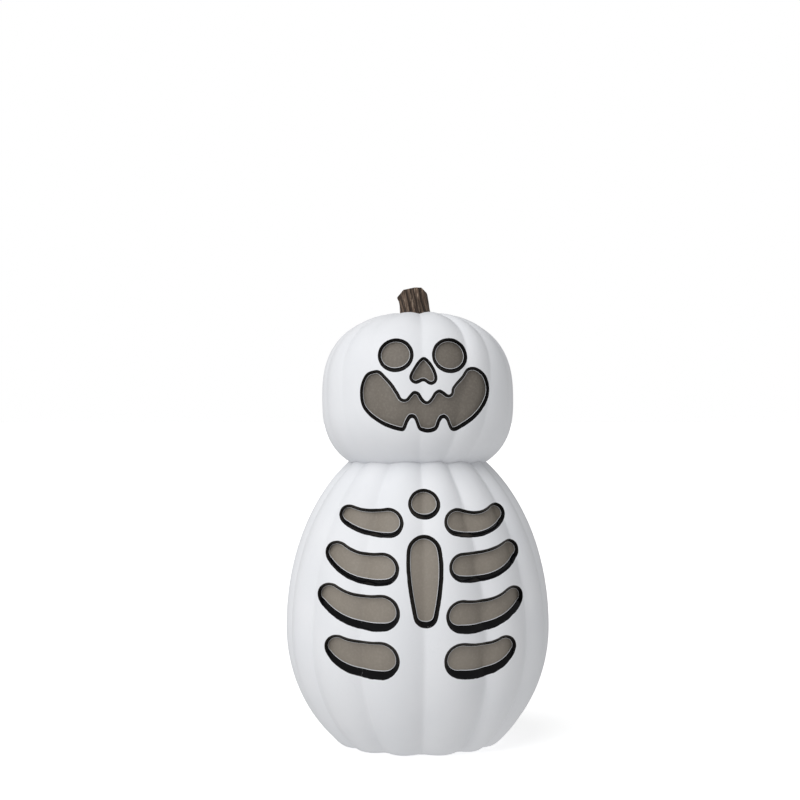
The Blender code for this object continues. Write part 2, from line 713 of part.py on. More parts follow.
def base_plate():
    plate = rod("base_plate", (0, 0), PLATE_RADIUS, PLATE_Z, PLATE_Z + PLATE_THICK, "base_black", sides=64)
    side, top = DOOR_HALF_WIDTH + DOOR_CLEARANCE, well_floor() + WELL_ROOF
    front, back = DOOR_FRONT_Y - DOOR_CLEARANCE, DOOR_BACK_Y + DOOR_BACK_CLEARANCE
    well = box("join_well", (-side - WELL_WALL, front - WELL_WALL, PLATE_Z + 0.2 * MM),
               (side + WELL_WALL, back + WELL_WALL, top))
    half, long = bay_half_width(), BAY_HALF_LENGTH
    bay = box("join_bay", (-half - BAY_WALL, -long - BAY_WALL, PLATE_Z + 0.4 * MM),
              (half + BAY_WALL, long + BAY_WALL, bay_top()))
    boss = rod("join_boss", (0, DOOR_SCREW_Y), DOOR_SCREW_SHANK + DOOR_SCREW_CLEARANCE + WELL_WALL,
               PLATE_Z + 0.6 * MM, well_floor() + DOOR_SCREW_REACH + WELL_ROOF, sides=20)
    join(plate, well, bay, boss)
    for i, (x, y) in enumerate(post_places()):
        join(plate, rod(f"join_post_{i + 1}", (x, y), POST_RADIUS, bay_top() - 0.5 * MM,
                        bay_top() + POST_HIGH, sides=12))
    knuckle_gap = DOOR_KNUCKLE_HALF + 2 * GAP
    for i, side_sign in enumerate((-1, 1)):
        ends = sorted((side_sign * knuckle_gap, side_sign * (knuckle_gap + PLATE_KNUCKLE)))
        join(plate, rod(f"join_knuckle_{i + 1}", (HINGE_Y, hinge_z()), KNUCKLE_RADIUS, *ends, axis="X",
                        sides=20))
    wing = well_floor() + 0.02 * MM
    cut(plate,
        box("cut_door_recess", (-side, front, 0), (side, HINGE_Y - KNUCKLE_RADIUS - GAP, well_floor())),
        box("cut_door_left", (-side, 0, -1 * MM), (-knuckle_gap - PLATE_KNUCKLE, back, wing)),
        box("cut_door_right", (knuckle_gap + PLATE_KNUCKLE, 0, -1 * MM), (side, back, wing)),
        box("cut_knuckle_slot", (-knuckle_gap, BAY_HALF_LENGTH + BAY_WALL, -2 * MM),
            (knuckle_gap, HINGE_Y + KNUCKLE_RADIUS + 2 * GAP, top + 1 * MM)),
        box("cut_bay", (-half, -long, 0.5 * MM), (half, long, bay_ceiling())),
        rod("cut_boss", (0, DOOR_SCREW_Y), DOOR_SCREW_SHANK + DOOR_SCREW_CLEARANCE, PLATE_Z,
            well_floor() + DOOR_SCREW_REACH + GAP, sides=20),
        rod("cut_pin", (HINGE_Y, hinge_z()), PIN_RADIUS + PIN_CLEARANCE,
            -knuckle_gap - PLATE_KNUCKLE - 1 * MM, knuckle_gap + PLATE_KNUCKLE + 1 * MM, axis="X", sides=24),
        box("cut_switch_slot",
            (SWITCH_X - STALK[0] / 2 - DOOR_CLEARANCE, -STALK[1] / 2 - SWITCH_TRAVEL - DOOR_CLEARANCE, 0),
            (SWITCH_X + STALK[0] / 2 + DOOR_CLEARANCE, STALK[1] / 2 + SWITCH_TRAVEL + DOOR_CLEARANCE,
             2 * ledge_z())))
    for i, (x, y) in enumerate(screw_places()):
        cut(plate, rod(f"cut_plate_{i + 1}", (x, y), SCREW_SHANK + GAP, 0, 2 * ledge_z(), sides=12))
    for i in BOARD_SCREWS:
        x, y = post_places()[i]
        cut(plate, rod(f"cut_post_{i + 1}", (x, y), SCREW_SHANK, bay_top() + 0.5 * MM,
                       bay_top() + 2 * POST_HIGH, sides=12))
    shade(plate)


def base_screws():
    tip = ledge_z() + SCREW_REACH - LEDGE_THICK * 0.3
    for i, (x, y) in enumerate(screw_places()):
        screw(f"base_screw_{i + 1}", x, y, PLATE_Z - GAP, SCREW_SHANK, tip, -1)


def screw(name, x, y, seat, shank, tip, way):
    """A pan-head screw: its head lies below the seat where way is -1 and above it where way is 1."""
    head = sorted((seat, seat + way * SCREW_HEAD_HIGH))
    body = rod(name, (x, y), SCREW_HEAD, *head, finish="steel", sides=16)
    shaft = sorted((tip, seat + way * SCREW_HEAD_HIGH * 0.5))
    join(body, rod("join_" + name, (x, y), shank, *shaft, sides=12))
    face = seat + way * SCREW_HEAD_HIGH
    for turned, (half_x, half_y) in enumerate((SCREW_CROSS, SCREW_CROSS[::-1])):
        slot = sorted((face - way * SCREW_HEAD_HIGH * 0.45, face + way * SCREW_HEAD_HIGH))
        cut(body, box(f"cut_{name}_{turned}", (x - half_x, y - half_y, slot[0]),
                      (x + half_x, y + half_y, slot[1])))
    shade(body)
    return body


def battery_door():
    door = box("battery_door", (-DOOR_HALF_WIDTH, DOOR_FRONT_Y, PLATE_Z),
               (DOOR_HALF_WIDTH, DOOR_BACK_Y, door_top()), "base_black")
    knuckle = rod("join_door_knuckle", (HINGE_Y, hinge_z()), KNUCKLE_RADIUS, -DOOR_KNUCKLE_HALF,
                  DOOR_KNUCKLE_HALF, axis="X", sides=20)
    knuckle_gap = DOOR_KNUCKLE_HALF + GAP
    notch_y = HINGE_Y - KNUCKLE_RADIUS - KNUCKLE_CLEARANCE
    tongue = box("join_tongue", (-DOOR_KNUCKLE_HALF, notch_y, PLATE_Z),
                 (DOOR_KNUCKLE_HALF, HINGE_Y, door_top()))
    join(door, knuckle, tongue)
    for i, side in enumerate((-1, 1)):
        ends = sorted((side * knuckle_gap, side * (knuckle_gap + PLATE_KNUCKLE + 2 * GAP)))
        cut(door, box(f"cut_notch_{i + 1}", (ends[0], notch_y, 0), (ends[1], HINGE_Y + 5 * MM, 10 * MM)))
    cut(door,
        rod("cut_door_pin", (HINGE_Y, hinge_z()), PIN_RADIUS + PIN_CLEARANCE, -2 * DOOR_KNUCKLE_HALF,
            2 * DOOR_KNUCKLE_HALF, axis="X", sides=24),
        rod("cut_door_screw", (0, DOOR_SCREW_Y), DOOR_SCREW_SHANK + DOOR_SCREW_FIT, 0, 10 * MM, sides=20))
    for i in range(4):
        y = GRIP_FIRST_Y + GRIP_PITCH * i
        cut(door, box(f"cut_grip_{i + 1}", (-GRIP_HALF_LENGTH, y, 0),
                      (GRIP_HALF_LENGTH, y + GRIP_WIDTH, PLATE_Z + GRIP_DEPTH)))
    shade(door)
    reach = DOOR_KNUCKLE_HALF + 2 * GAP + PLATE_KNUCKLE
    pin = rod("hinge_pin", (HINGE_Y, hinge_z()), PIN_RADIUS, -reach, reach, "steel", axis="X", sides=24)
    shade(pin)
    tip = well_floor() + DOOR_SCREW_REACH - GAP
    screw("door_screw", 0, DOOR_SCREW_Y, PLATE_Z - GAP, DOOR_SCREW_SHANK, tip, -1)


def cell_places():
    """(x, way) of each cell: the button end points to +Y where way is 1."""
    return [(-CELL_PITCH, 1), (0.0, -1), (CELL_PITCH, 1)]


def contact_y():
    return BAY_HALF_LENGTH - GAP - CONTACT_THICK


def cells_and_contacts():
    z = cell_z()
    end = contact_y() - GAP
    for i, (x, way) in enumerate(cell_places()):
        body = sorted((way * (end - CELL_NUB), way * (end - CELL_LENGTH)))
        cell = rod(f"battery_{i + 1}", (x, z), CELL_RADIUS, *body, finish="cell_wrap", axis="Y", sides=28)
        nub = sorted((way * end, way * (end - CELL_LENGTH * 0.5)))
        join(cell, rod(f"join_nub_{i + 1}", (x, z), CELL_NUB_RADIUS, *nub, axis="Y", sides=16))
        shade(cell)
        start, stop = -way * (contact_y() - GAP), way * (end - CELL_LENGTH - GAP)
        turns = round(SPRING_TURNS * 9)
        wire_points = []
        for k in range(turns + 1):
            angle = 2 * math.pi * k / 9
            radius = SPRING_RADIUS * (1 - 0.35 * k / turns)
            low, high = start + way * SPRING_WIRE, stop - way * SPRING_WIRE
            wire_points.append((x + radius * math.cos(angle), low + (high - low) * k / turns,
                                z + radius * math.sin(angle)))
        shade(wire(f"contact_spring_{i + 1}", wire_points, SPRING_WIRE, "steel", 0))
    half = CONTACT_SIZE / 2
    near, far = contact_y(), contact_y() + CONTACT_THICK
    spans = (("contact_front_single", CELL_PITCH, CELL_PITCH, -1),
             ("contact_front_pair", -CELL_PITCH, 0.0, -1),
             ("contact_back_single", -CELL_PITCH, -CELL_PITCH, 1),
             ("contact_back_pair", 0.0, CELL_PITCH, 1))
    for name, left, right, way in spans:
        y = sorted((way * near, way * far))
        box(name, (left - half, y[0], z - half), (right + half, y[1], z + half), "steel")


# ---- switch --------------------------------------------------------------------------------------


def switch():
    half = [size / 2 for size in SWITCH_HOUSING]
    low = PLATE_Z + PLATE_THICK + GAP
    housing = box("switch_housing", (SWITCH_X - half[0], -half[1], low),
                  (SWITCH_X + half[0], half[1], low + SWITCH_HOUSING[2]), "chip_black")
    room = (SLIDER[0] / 2 + GAP, SLIDER[1] / 2 + SWITCH_TRAVEL + GAP)
    slider_low = low + GAP
    cut(housing, box("cut_switch", (SWITCH_X - room[0], -room[1], 0),
                     (SWITCH_X + room[0], room[1], slider_low + SLIDER[2] + GAP)))
    lever = box("switch_lever", (SWITCH_X - SLIDER[0] / 2, -SLIDER[1] / 2, slider_low),
                (SWITCH_X + SLIDER[0] / 2, SLIDER[1] / 2, slider_low + SLIDER[2]), "shell_white")
    knob_top = PLATE_Z - GAP
    stalk = box("join_stalk", (SWITCH_X - STALK[0] / 2, -STALK[1] / 2, knob_top - KNOB[2] / 2),
                (SWITCH_X + STALK[0] / 2, STALK[1] / 2, slider_low + 0.5 * MM))
    knob = box("join_knob", (SWITCH_X - KNOB[0] / 2, -KNOB[1] / 2, knob_top - KNOB[2]),
               (SWITCH_X + KNOB[0] / 2, KNOB[1] / 2, knob_top))
    join(lever, stalk, knob)


# ---- light ---------------------------------------------------------------------------------------


def post_places():
    return [(sx * POST_X, BOARD_Y + sy * POST_Y) for sx in (-1, 1) for sy in (-1, 1)]


def board_low():
    return bay_top() + POST_HIGH + GAP


def board_top():
    return board_low() + BOARD[2]


def led(name, x, y, seat):
    """A round LED: flanged can with a domed end."""
    straight = LED_HIGH - LED_RADIUS
    can = rod(name, (x, y), LED_RADIUS * 1.16, seat + GAP, seat + GAP + 1 * MM, "led_clear", sides=12)
    join(can, rod("join_can_" + name, (x, y), LED_RADIUS, seat + GAP + 0.4 * MM, seat + GAP + straight,
                  sides=12))
    bm = bmesh.new()
    bmesh.ops.create_uvsphere(bm, u_segments=12, v_segments=6, radius=LED_RADIUS * 0.98)
    bm.transform(Matrix.Translation((x, y, seat + GAP + straight)))
    join(can, add_object("join_dome_" + name, bm))
    shade(can)


def main_board():
    half = [size / 2 for size in BOARD]
    board = box("circuit_board", (-half[0], BOARD_Y - half[1], board_low()),
                (half[0], BOARD_Y + half[1], board_top()), "board_green")
    for i in BOARD_SCREWS:
        x, y = post_places()[i]
        cut(board, rod(f"cut_board_{i + 1}", (x, y), SCREW_SHANK, 0, 60 * MM, sides=12))
        screw(f"board_screw_{i + 1}", x, y, board_top() + GAP, SCREW_SHANK - GAP, bay_top() + 0.8 * MM, 1)
    box("timer_chip", (-CHIP[0] / 2, BOARD_Y - CHIP[1] / 2, board_top() + GAP),
        (CHIP[0] / 2, BOARD_Y + CHIP[1] / 2, board_top() + GAP + CHIP[2]), "chip_black")
    for i, side in enumerate((-1, 1)):
        led(f"led_body_{i + 1}", side * BODY_LED[0], BOARD_Y + BODY_LED[1], board_top())


def shelf_low():
    return rim_height() + GAP


def shelf_top():
    return shelf_low() + SHELF_THICK


def head_board_low():
    return shelf_top() + HEAD_POST_HIGH + GAP


def wire_y():
    return MAST_Y - MAST_RADIUS - WIRE_RADIUS - 2 * GAP


def neck_shelf():
    shelf = rod("neck_shelf", (0, 0), NECK_RADIUS + SHELF_OVER_RIM, shelf_low(), shelf_top(), "base_black",
                sides=48)
    for i, (sx, sy) in enumerate(((-1, -1), (-1, 1), (1, -1), (1, 1))):
        x, y = sx * HEAD_POST_OUT, HEAD_BOARD_Y + sy * HEAD_POST_OUT
        join(shelf, rod(f"join_head_post_{i + 1}", (x, y), HEAD_POST_RADIUS, shelf_low() + 0.5 * MM,
                        shelf_top() + HEAD_POST_HIGH, sides=12))
    cut(shelf,
        rod("cut_mast", (0, MAST_Y), MAST_RADIUS + GAP, 0, 2 * shelf_top(), sides=24),
        box("cut_wires", (-6 * WIRE_RADIUS, wire_y() - 2 * WIRE_RADIUS, shelf_low() - 5 * MM),
            (6 * WIRE_RADIUS, MAST_Y, shelf_top() + 5 * MM)))
    for i, side in enumerate((-1, 1)):
        cut(shelf, rod(f"cut_shelf_{i + 1}", (side * SHELF_HOLE[0], 0), SHELF_HOLE[1], 0, 2 * shelf_top(),
                       sides=24))
    shade(shelf)


def mast():
    low, high = bay_top() + GAP, shelf_top() + 2.5 * MM
    tube = rod("light_mast", (0, MAST_Y), MAST_RADIUS, low, high, "base_black", sides=24)
    join(tube, rod("join_flange", (0, MAST_Y), MAST_FLANGE[0], low, low + MAST_FLANGE[1], sides=24))
    cut(tube, rod("cut_mast_bore", (0, MAST_Y), MAST_RADIUS - MAST_WALL, low - 5 * MM, high + 5 * MM,
                  sides=20))
    shade(tube)


def head_light():
    half = [size / 2 for size in HEAD_BOARD]
    low = head_board_low()
    box("head_board", (-half[0], HEAD_BOARD_Y - half[1], low),
        (half[0], HEAD_BOARD_Y + half[1], low + HEAD_BOARD[2]), "board_green")
    for i, side in enumerate((-1, 1)):
        led(f"led_head_{i + 1}", side * HEAD_LED[0], HEAD_BOARD_Y + HEAD_LED[1], low + HEAD_BOARD[2])


def head_leads():
    """Two leads from the main board up the mast to the head's board."""
    top = head_board_low() + HEAD_BOARD[2] + GAP + WIRE_RADIUS
    start = board_top() + GAP + WIRE_RADIUS
    edge = BOARD_Y + BOARD[1] / 2
    back = HEAD_BOARD_Y + HEAD_BOARD[1] / 2
    for colour, x in (("red", -LEAD_OUT), ("black", LEAD_OUT)):
        points = [
            (x, edge - 3 * MM, start),
            (x, edge + 1 * MM, start + 0.4 * MM),
            (x, wire_y() - 1 * MM, start + 3 * MM),
            (x, wire_y(), start + 8 * MM),
            (x, wire_y(), top - 6 * MM),
            (x, wire_y() - 2 * MM, top - 1.5 * MM),
            (x, wire_y() - 5 * MM, top + 0.6 * MM),
            (x, back, top + 0.4 * MM),
            (x, back - 3 * MM, top),
        ]
        shade(wire("head_lead_" + colour, points, WIRE_RADIUS, "wire_" + colour), 60)


def base_leads():
    """A pair from the end contacts to the board, and a pair from the switch to the board."""
    start = board_top() + GAP + WIRE_RADIUS
    side = bay_half_width() + BAY_WALL + WIRE_RADIUS + 2 * GAP
    low = PLATE_Z + PLATE_THICK + WELL_ROOF + WIRE_RADIUS + 1.2 * MM
    for colour, y in (("red", -4 * MM), ("black", -8 * MM)):
        points = [
            (side, y, low),
            (side, y, board_low() - 1 * MM),
            (side - 1.5 * MM, y, start + 0.6 * MM),
            (side - 4 * MM, y, start + 1.2 * MM),
            (BOARD[0] / 2 - 2 * MM, y, start),
        ]
        shade(wire("battery_lead_" + colour, points, WIRE_RADIUS, "wire_" + colour), 60)
    roof = PLATE_Z + PLATE_THICK + GAP + SWITCH_HOUSING[2] + GAP + WIRE_RADIUS
    for colour, y in (("red", 2.5 * MM), ("black", -2.5 * MM)):
        points = [
            (SWITCH_X, y, roof),
            (SWITCH_X + 3 * MM, y, roof + 0.6 * MM),
            (-side - 1 * MM, y, roof + 5 * MM),
            (-side, y, board_low() - 1 * MM),
            (-side + 1.5 * MM, y, start + 0.8 * MM),
            (-BOARD[0] / 2 + 2 * MM, y, start),
        ]
        shade(wire("switch_lead_" + colour, points, WIRE_RADIUS, "wire_" + colour), 60)


def main():
    make_finishes()
    body_shell()
    head_shell()
    liner("body_diffuser", body_station, BODY_LINER_Z, BODY_LINER_ANGLE, BODY_CREASE, "liner_taupe")
    face = liner("head_diffuser", head_station, HEAD_LINER_Z, HEAD_LINER_ANGLE, HEAD_CREASE, "liner_taupe")
    face.data.transform(head_tilt())
    stem()
    base_plate()
    base_screws()
    battery_door()
    cells_and_contacts()
    switch()
    main_board()
    neck_shelf()
    mast()
    head_light()
    head_leads()
    base_leads()


clear_scene()
PIECES = new_collection("skeleton_figure")
CUTTERS = new_collection("cutters", hidden=True)
main()
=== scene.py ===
"""Light-up pumpkin skeleton figure: lobed shells with painted windows, liners, stem, and the battery base.

Lengths are in metres and the front faces -Y. Window outlines are in millimetres, seen square from the front.
"""

import math

import bpy
import numpy as np
from bpy.props import FloatProperty, FloatVectorProperty, PointerProperty
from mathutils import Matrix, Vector
from mathutils.geometry import delaunay_2d_cdt


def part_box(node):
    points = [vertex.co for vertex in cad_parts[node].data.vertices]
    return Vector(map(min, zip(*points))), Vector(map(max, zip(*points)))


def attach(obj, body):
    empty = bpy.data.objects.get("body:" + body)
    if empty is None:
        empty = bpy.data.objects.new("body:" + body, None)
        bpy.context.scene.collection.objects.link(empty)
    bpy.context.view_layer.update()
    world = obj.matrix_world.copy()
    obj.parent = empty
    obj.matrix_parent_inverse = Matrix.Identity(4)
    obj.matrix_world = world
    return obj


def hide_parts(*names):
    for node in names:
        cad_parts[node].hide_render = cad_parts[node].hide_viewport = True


bl_info = {
    "name": "Pumpkin skeleton figure",
    "version": (1, 0, 0),
    "blender": (4, 5, 0),
    "location": "View3D > Sidebar > Skeleton figure",
    "description": "Builds the shells, liners, stem and battery base of a light-up pumpkin skeleton figure",
    "category": "Add Mesh",
}

MM = 0.001
TAU = 2 * math.pi
FIGURE = "figure"  # the body that stands still

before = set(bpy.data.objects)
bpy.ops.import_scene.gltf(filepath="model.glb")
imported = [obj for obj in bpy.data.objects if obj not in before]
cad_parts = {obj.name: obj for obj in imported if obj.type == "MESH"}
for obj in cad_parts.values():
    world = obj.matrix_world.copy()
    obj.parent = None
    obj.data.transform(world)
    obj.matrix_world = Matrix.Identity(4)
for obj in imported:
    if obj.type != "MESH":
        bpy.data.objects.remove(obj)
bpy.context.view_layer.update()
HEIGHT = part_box("stem")[1].z
BODY_HALF_WIDTH = (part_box("body_shell")[1].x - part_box("body_shell")[0].x) / 2
HEAD_HALF_WIDTH = (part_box("head_shell")[1].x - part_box("head_shell")[0].x) / 2

# Crease lines: degrees from the front, to the viewer's right, at the shell's lower and upper edge, and their
# depth as a share of the shell's crease depth
BODY_CREASES = (
    (0, 0, 0.8), (32, 23, 1.0), (54, 50, 0.75), (78, 70, 0.7), (101, 99, 0.8),
    (126, 126, 0.9), (152, 152, 0.8), (178, 178, 0.9), (204, 204, 0.8), (230, 230, 0.9),
    (256, 256, 0.8), (281, 283, 0.6), (304, 306, 0.6), (331, 333, 0.9),
)
HEAD_CREASES = (
    (-2, 2, 0.8), (17, 41, 0.9), (35, 60, 0.6), (62, 82, 0.6), (92, 105, 0.8),
    (124, 130, 0.9), (153, 155, 0.8), (180, 180, 0.9), (207, 205, 0.8), (236, 231, 0.9),
    (266, 256, 0.8), (290, 279, 0.5), (312, 300, 0.45), (334, 322, 0.5),
)

CREASE_SOFTNESS = 0.06
CREASE_POWER = 2.1
FADE_STOPS = (0, 0.35, 0.7, 1)  # shares of the way up, for the two fades
BODY_FADE = (1.25, 1.2, 0.9, 0.8)  # share of the crease depth at each stop
HEAD_FADE = (0.35, 0.55, 0.95, 1.1)
BODY_POWERS = (1.0, 1.0)  # of the section's superellipse, above and below the widest ring
HEAD_POWERS = (0.8, 0.74)
BODY_EDGE_Z = 5.0 * MM
HEAD_LOWEST, HEAD_HIGHEST = math.radians(-62), math.radians(89)
HEAD_TOP_HOLE = 5.2 * MM
HEAD_DIP, DIP_RADIUS = 7.0 * MM, 32 * MM  # hollow round the stem
SEAT_GAP = 0.1 * MM

# Window outlines in millimetres, at the outer edge of the black paint
CHEST_ROUND = (1.2, 204.3, 12.9, 12.0, 0)  # x, z, half width, half height, tilt in degrees
BREASTBONE = ((0.4, 167.1, 14.0), (0.9, 147.5, 14.3), (1.1, 118.9, 9.9))  # circles x, z, radius
RIBS = (
    ((-27.0, 190.0, 11.7), (-43.0, 190.1, 10.3), (-57.4, 194.6, 8.6)),
    ((-32.2, 154.5, 12.9), (-51.6, 155.6, 12.2), (-67.0, 164.7, 10.2)),
    ((-33.4, 120.7, 14.5), (-55.2, 122.1, 13.1), (-73.1, 131.7, 10.4)),
    ((-34.6, 83.3, 15.5), (-54.0, 84.7, 14.1), (-67.6, 91.6, 10.5)),
    ((27.4, 190.4, 10.9), (45.0, 188.5, 10.1), (59.4, 194.9, 9.1)),
    ((31.2, 155.5, 11.6), (53.0, 157.3, 11.9), (69.8, 166.1, 9.2)),
    ((30.2, 117.6, 13.4), (54.0, 119.2, 12.0), (72.3, 129.9, 9.5)),
    ((30.1, 82.9, 14.8), (51.0, 83.3, 13.4), (65.3, 91.6, 9.5)),
)
RIB_SILLS = (1.1, 2.0, 3.7, 4.3, 1.1, 2.1, 3.9, 4.5)  # extra wall seen along each lower edge
ROUND_SILL, BREASTBONE_SILL, EYE_SILL, NOSE_SILL, MOUTH_SILL = 1.2, 1.6, 0.9, 0.4, 0.9
BREASTBONE_LIP, NOSE_LIP, MOUTH_LIP = 1.18, 0.9, 0.94  # shares of the usual lip
EYES = ((-20.9, 322.8, 14.5, 13.7, 25), (22.5, 322.6, 14.8, 14.3, -20))
NOSE = (
    (1.4, 321.6), (-2.6, 319.2), (-7.5, 312.4), (-10.6, 305.7), (-8.8, 301.3), (-5.2, 299.7),
    (-2.0, 300.7), (1.1, 301.8), (4.3, 299.8), (7.5, 298.9), (11.1, 300.9), (12.3, 305.3),
    (10.0, 312.5), (5.3, 319.2),
)
MOUTH = (
    (-37.8, 311.0), (-44.9, 307.7), (-49.2, 297.2), (-48.5, 284.1), (-43.5, 275.6), (-35.0, 268.8),
    (-26.5, 264.6), (-16.6, 261.9), (-13.4, 263.8), (-11.4, 268.8), (-9.2, 272.4), (-6.6, 271.8),
    (-4.9, 267.4), (-3.2, 263.6), (-0.8, 261.9), (4.7, 260.7), (10.2, 262.2), (12.8, 265.0),
    (14.4, 269.6), (16.6, 272.3), (19.0, 270.8), (20.8, 266.4), (23.0, 262.8), (27.1, 262.1),
    (33.6, 265.6), (42.6, 271.9), (50.3, 280.5), (55.0, 290.0), (55.5, 298.8), (52.1, 307.6),
    (45.8, 312.7), (40.4, 313.8), (35.7, 311.9), (31.8, 306.2), (26.7, 300.9), (23.6, 296.6),
    (22.9, 292.6), (20.8, 291.6), (17.4, 293.9), (13.6, 295.6), (9.5, 293.5), (6.6, 289.0),
    (3.6, 286.2), (0.6, 288.4), (-2.4, 293.2), (-7.0, 294.4), (-10.6, 291.2), (-13.2, 288.3),
    (-16.4, 288.7), (-19.2, 293.4), (-23.7, 300.2), (-29.3, 306.7), (-33.4, 310.4),
)


# ---- settings ------------------------------------------------------------------------------------


def length(name, description, default):
    return FloatProperty(name=name, description=description, default=default, min=0.0, unit="LENGTH",
                         precision=4)


def colour(name, description, default):
    return FloatVectorProperty(name=name, description=description, default=default, size=3, min=0.0, max=1.0,
                               subtype="COLOR")


class BodySettings(bpy.types.PropertyGroup):
    """Sizes of the egg-shaped body shell."""

    radius: length("Radius", "Widest radius of the body", round(BODY_HALF_WIDTH, 4))
    widest_z: length("Widest height", "Height of the widest ring", 97.0 * MM)
    rise: length("Rise", "Height of the egg above its widest ring", 162.0 * MM)
    drop: length("Drop", "Depth of the egg below its widest ring", 121.0 * MM)
    crease: length("Crease depth", "How far the deepest crease sinks in", 4.6 * MM)
    neck: length("Neck radius", "Rim of the top opening", 47.0 * MM)
    wall: length("Wall", "Shell wall, return lips included", 4.3 * MM)


class HeadSettings(bpy.types.PropertyGroup):
    """Sizes of the squat head shell."""

    radius: length("Radius", "Widest radius of the head", round(HEAD_HALF_WIDTH, 4))
    widest_z: length("Widest height", "Height of the widest ring", 288.0 * MM)
    rise: length("Rise", "Height of the head above its widest ring", 71.5 * MM)
    drop: length("Drop", "Depth of the head below its widest ring", 65.0 * MM)
    crease: length("Crease depth", "How far the deepest crease sinks in", 3.4 * MM)
    tilt: FloatProperty(name="Tilt back", description="Lean of the head towards its back",
                        default=math.radians(5.0), subtype="ANGLE")
    back: length("Set back", "How far the head stands behind the body's axis", 2.0 * MM)
    wall: length("Wall", "Shell wall, return lips included", 4.3 * MM)


class WindowSettings(bpy.types.PropertyGroup):
    """The painted openings."""

    lip: length("Lip", "Width of the black edge, seen from the front", 3.2 * MM)
    # Painted shade: this unpainted line is also drawn darker than the shell's white.
    bare: length("Bare edge", "Unpainted line at the opening's inner edge", 0.4 * MM)
    liner_gap: length("Liner gap", "Distance from the shell's inside to the liner", 0.6 * MM)


class PaintSettings(bpy.types.PropertyGroup):
    """Colours of the figure."""

    white: colour("Shell white", "Satin paint of the shells", (0.715, 0.724, 0.746))
    black: colour("Window black", "Gloss paint round the windows", (0.0015, 0.0015, 0.0018))
    liner: colour("Body liner", "Frosted sheet behind the body's windows", (0.222, 0.196, 0.165))
    # Painted shade: the same frosted sheet as the body liner, drawn at about 0.68 of its colour.
    shaded_face_liner: colour("Face liner", "Frosted sheet behind the face", (0.152, 0.134, 0.113))
    stem: colour("Stem", "Brown of the stem's ridges", (0.125, 0.085, 0.060))
    groove: colour("Stem grooves", "Dark brown between the ridges", (0.030, 0.020, 0.014))
    base: colour("Base", "Moulded base plate and door", (0.030, 0.030, 0.033))


def settings():
    scene = bpy.context.scene
    return scene.figure_body, scene.figure_head, scene.figure_windows, scene.figure_paint


# ---- lobed shells --------------------------------------------------------------------------------


def undulation(azimuth, v):
    """Slow hand-shaped unevenness in metres: three sine products of the azimuth and of the way up."""
    slow = np.sin(3 * azimuth + 0.7) * np.sin(4.1 * v + 0.4)
    middle = np.sin(5 * azimuth + 2.1) * np.sin(7.3 * v + 1.9)
    quick = np.sin(8 * azimuth + 4.4) * np.sin(11.0 * v + 0.8)
    return 0.22 * MM * slow + 0.16 * MM * middle + 0.10 * MM * quick


FLOOR_STEPS = 40  # samples per lobe of a lower edge cut into the shell


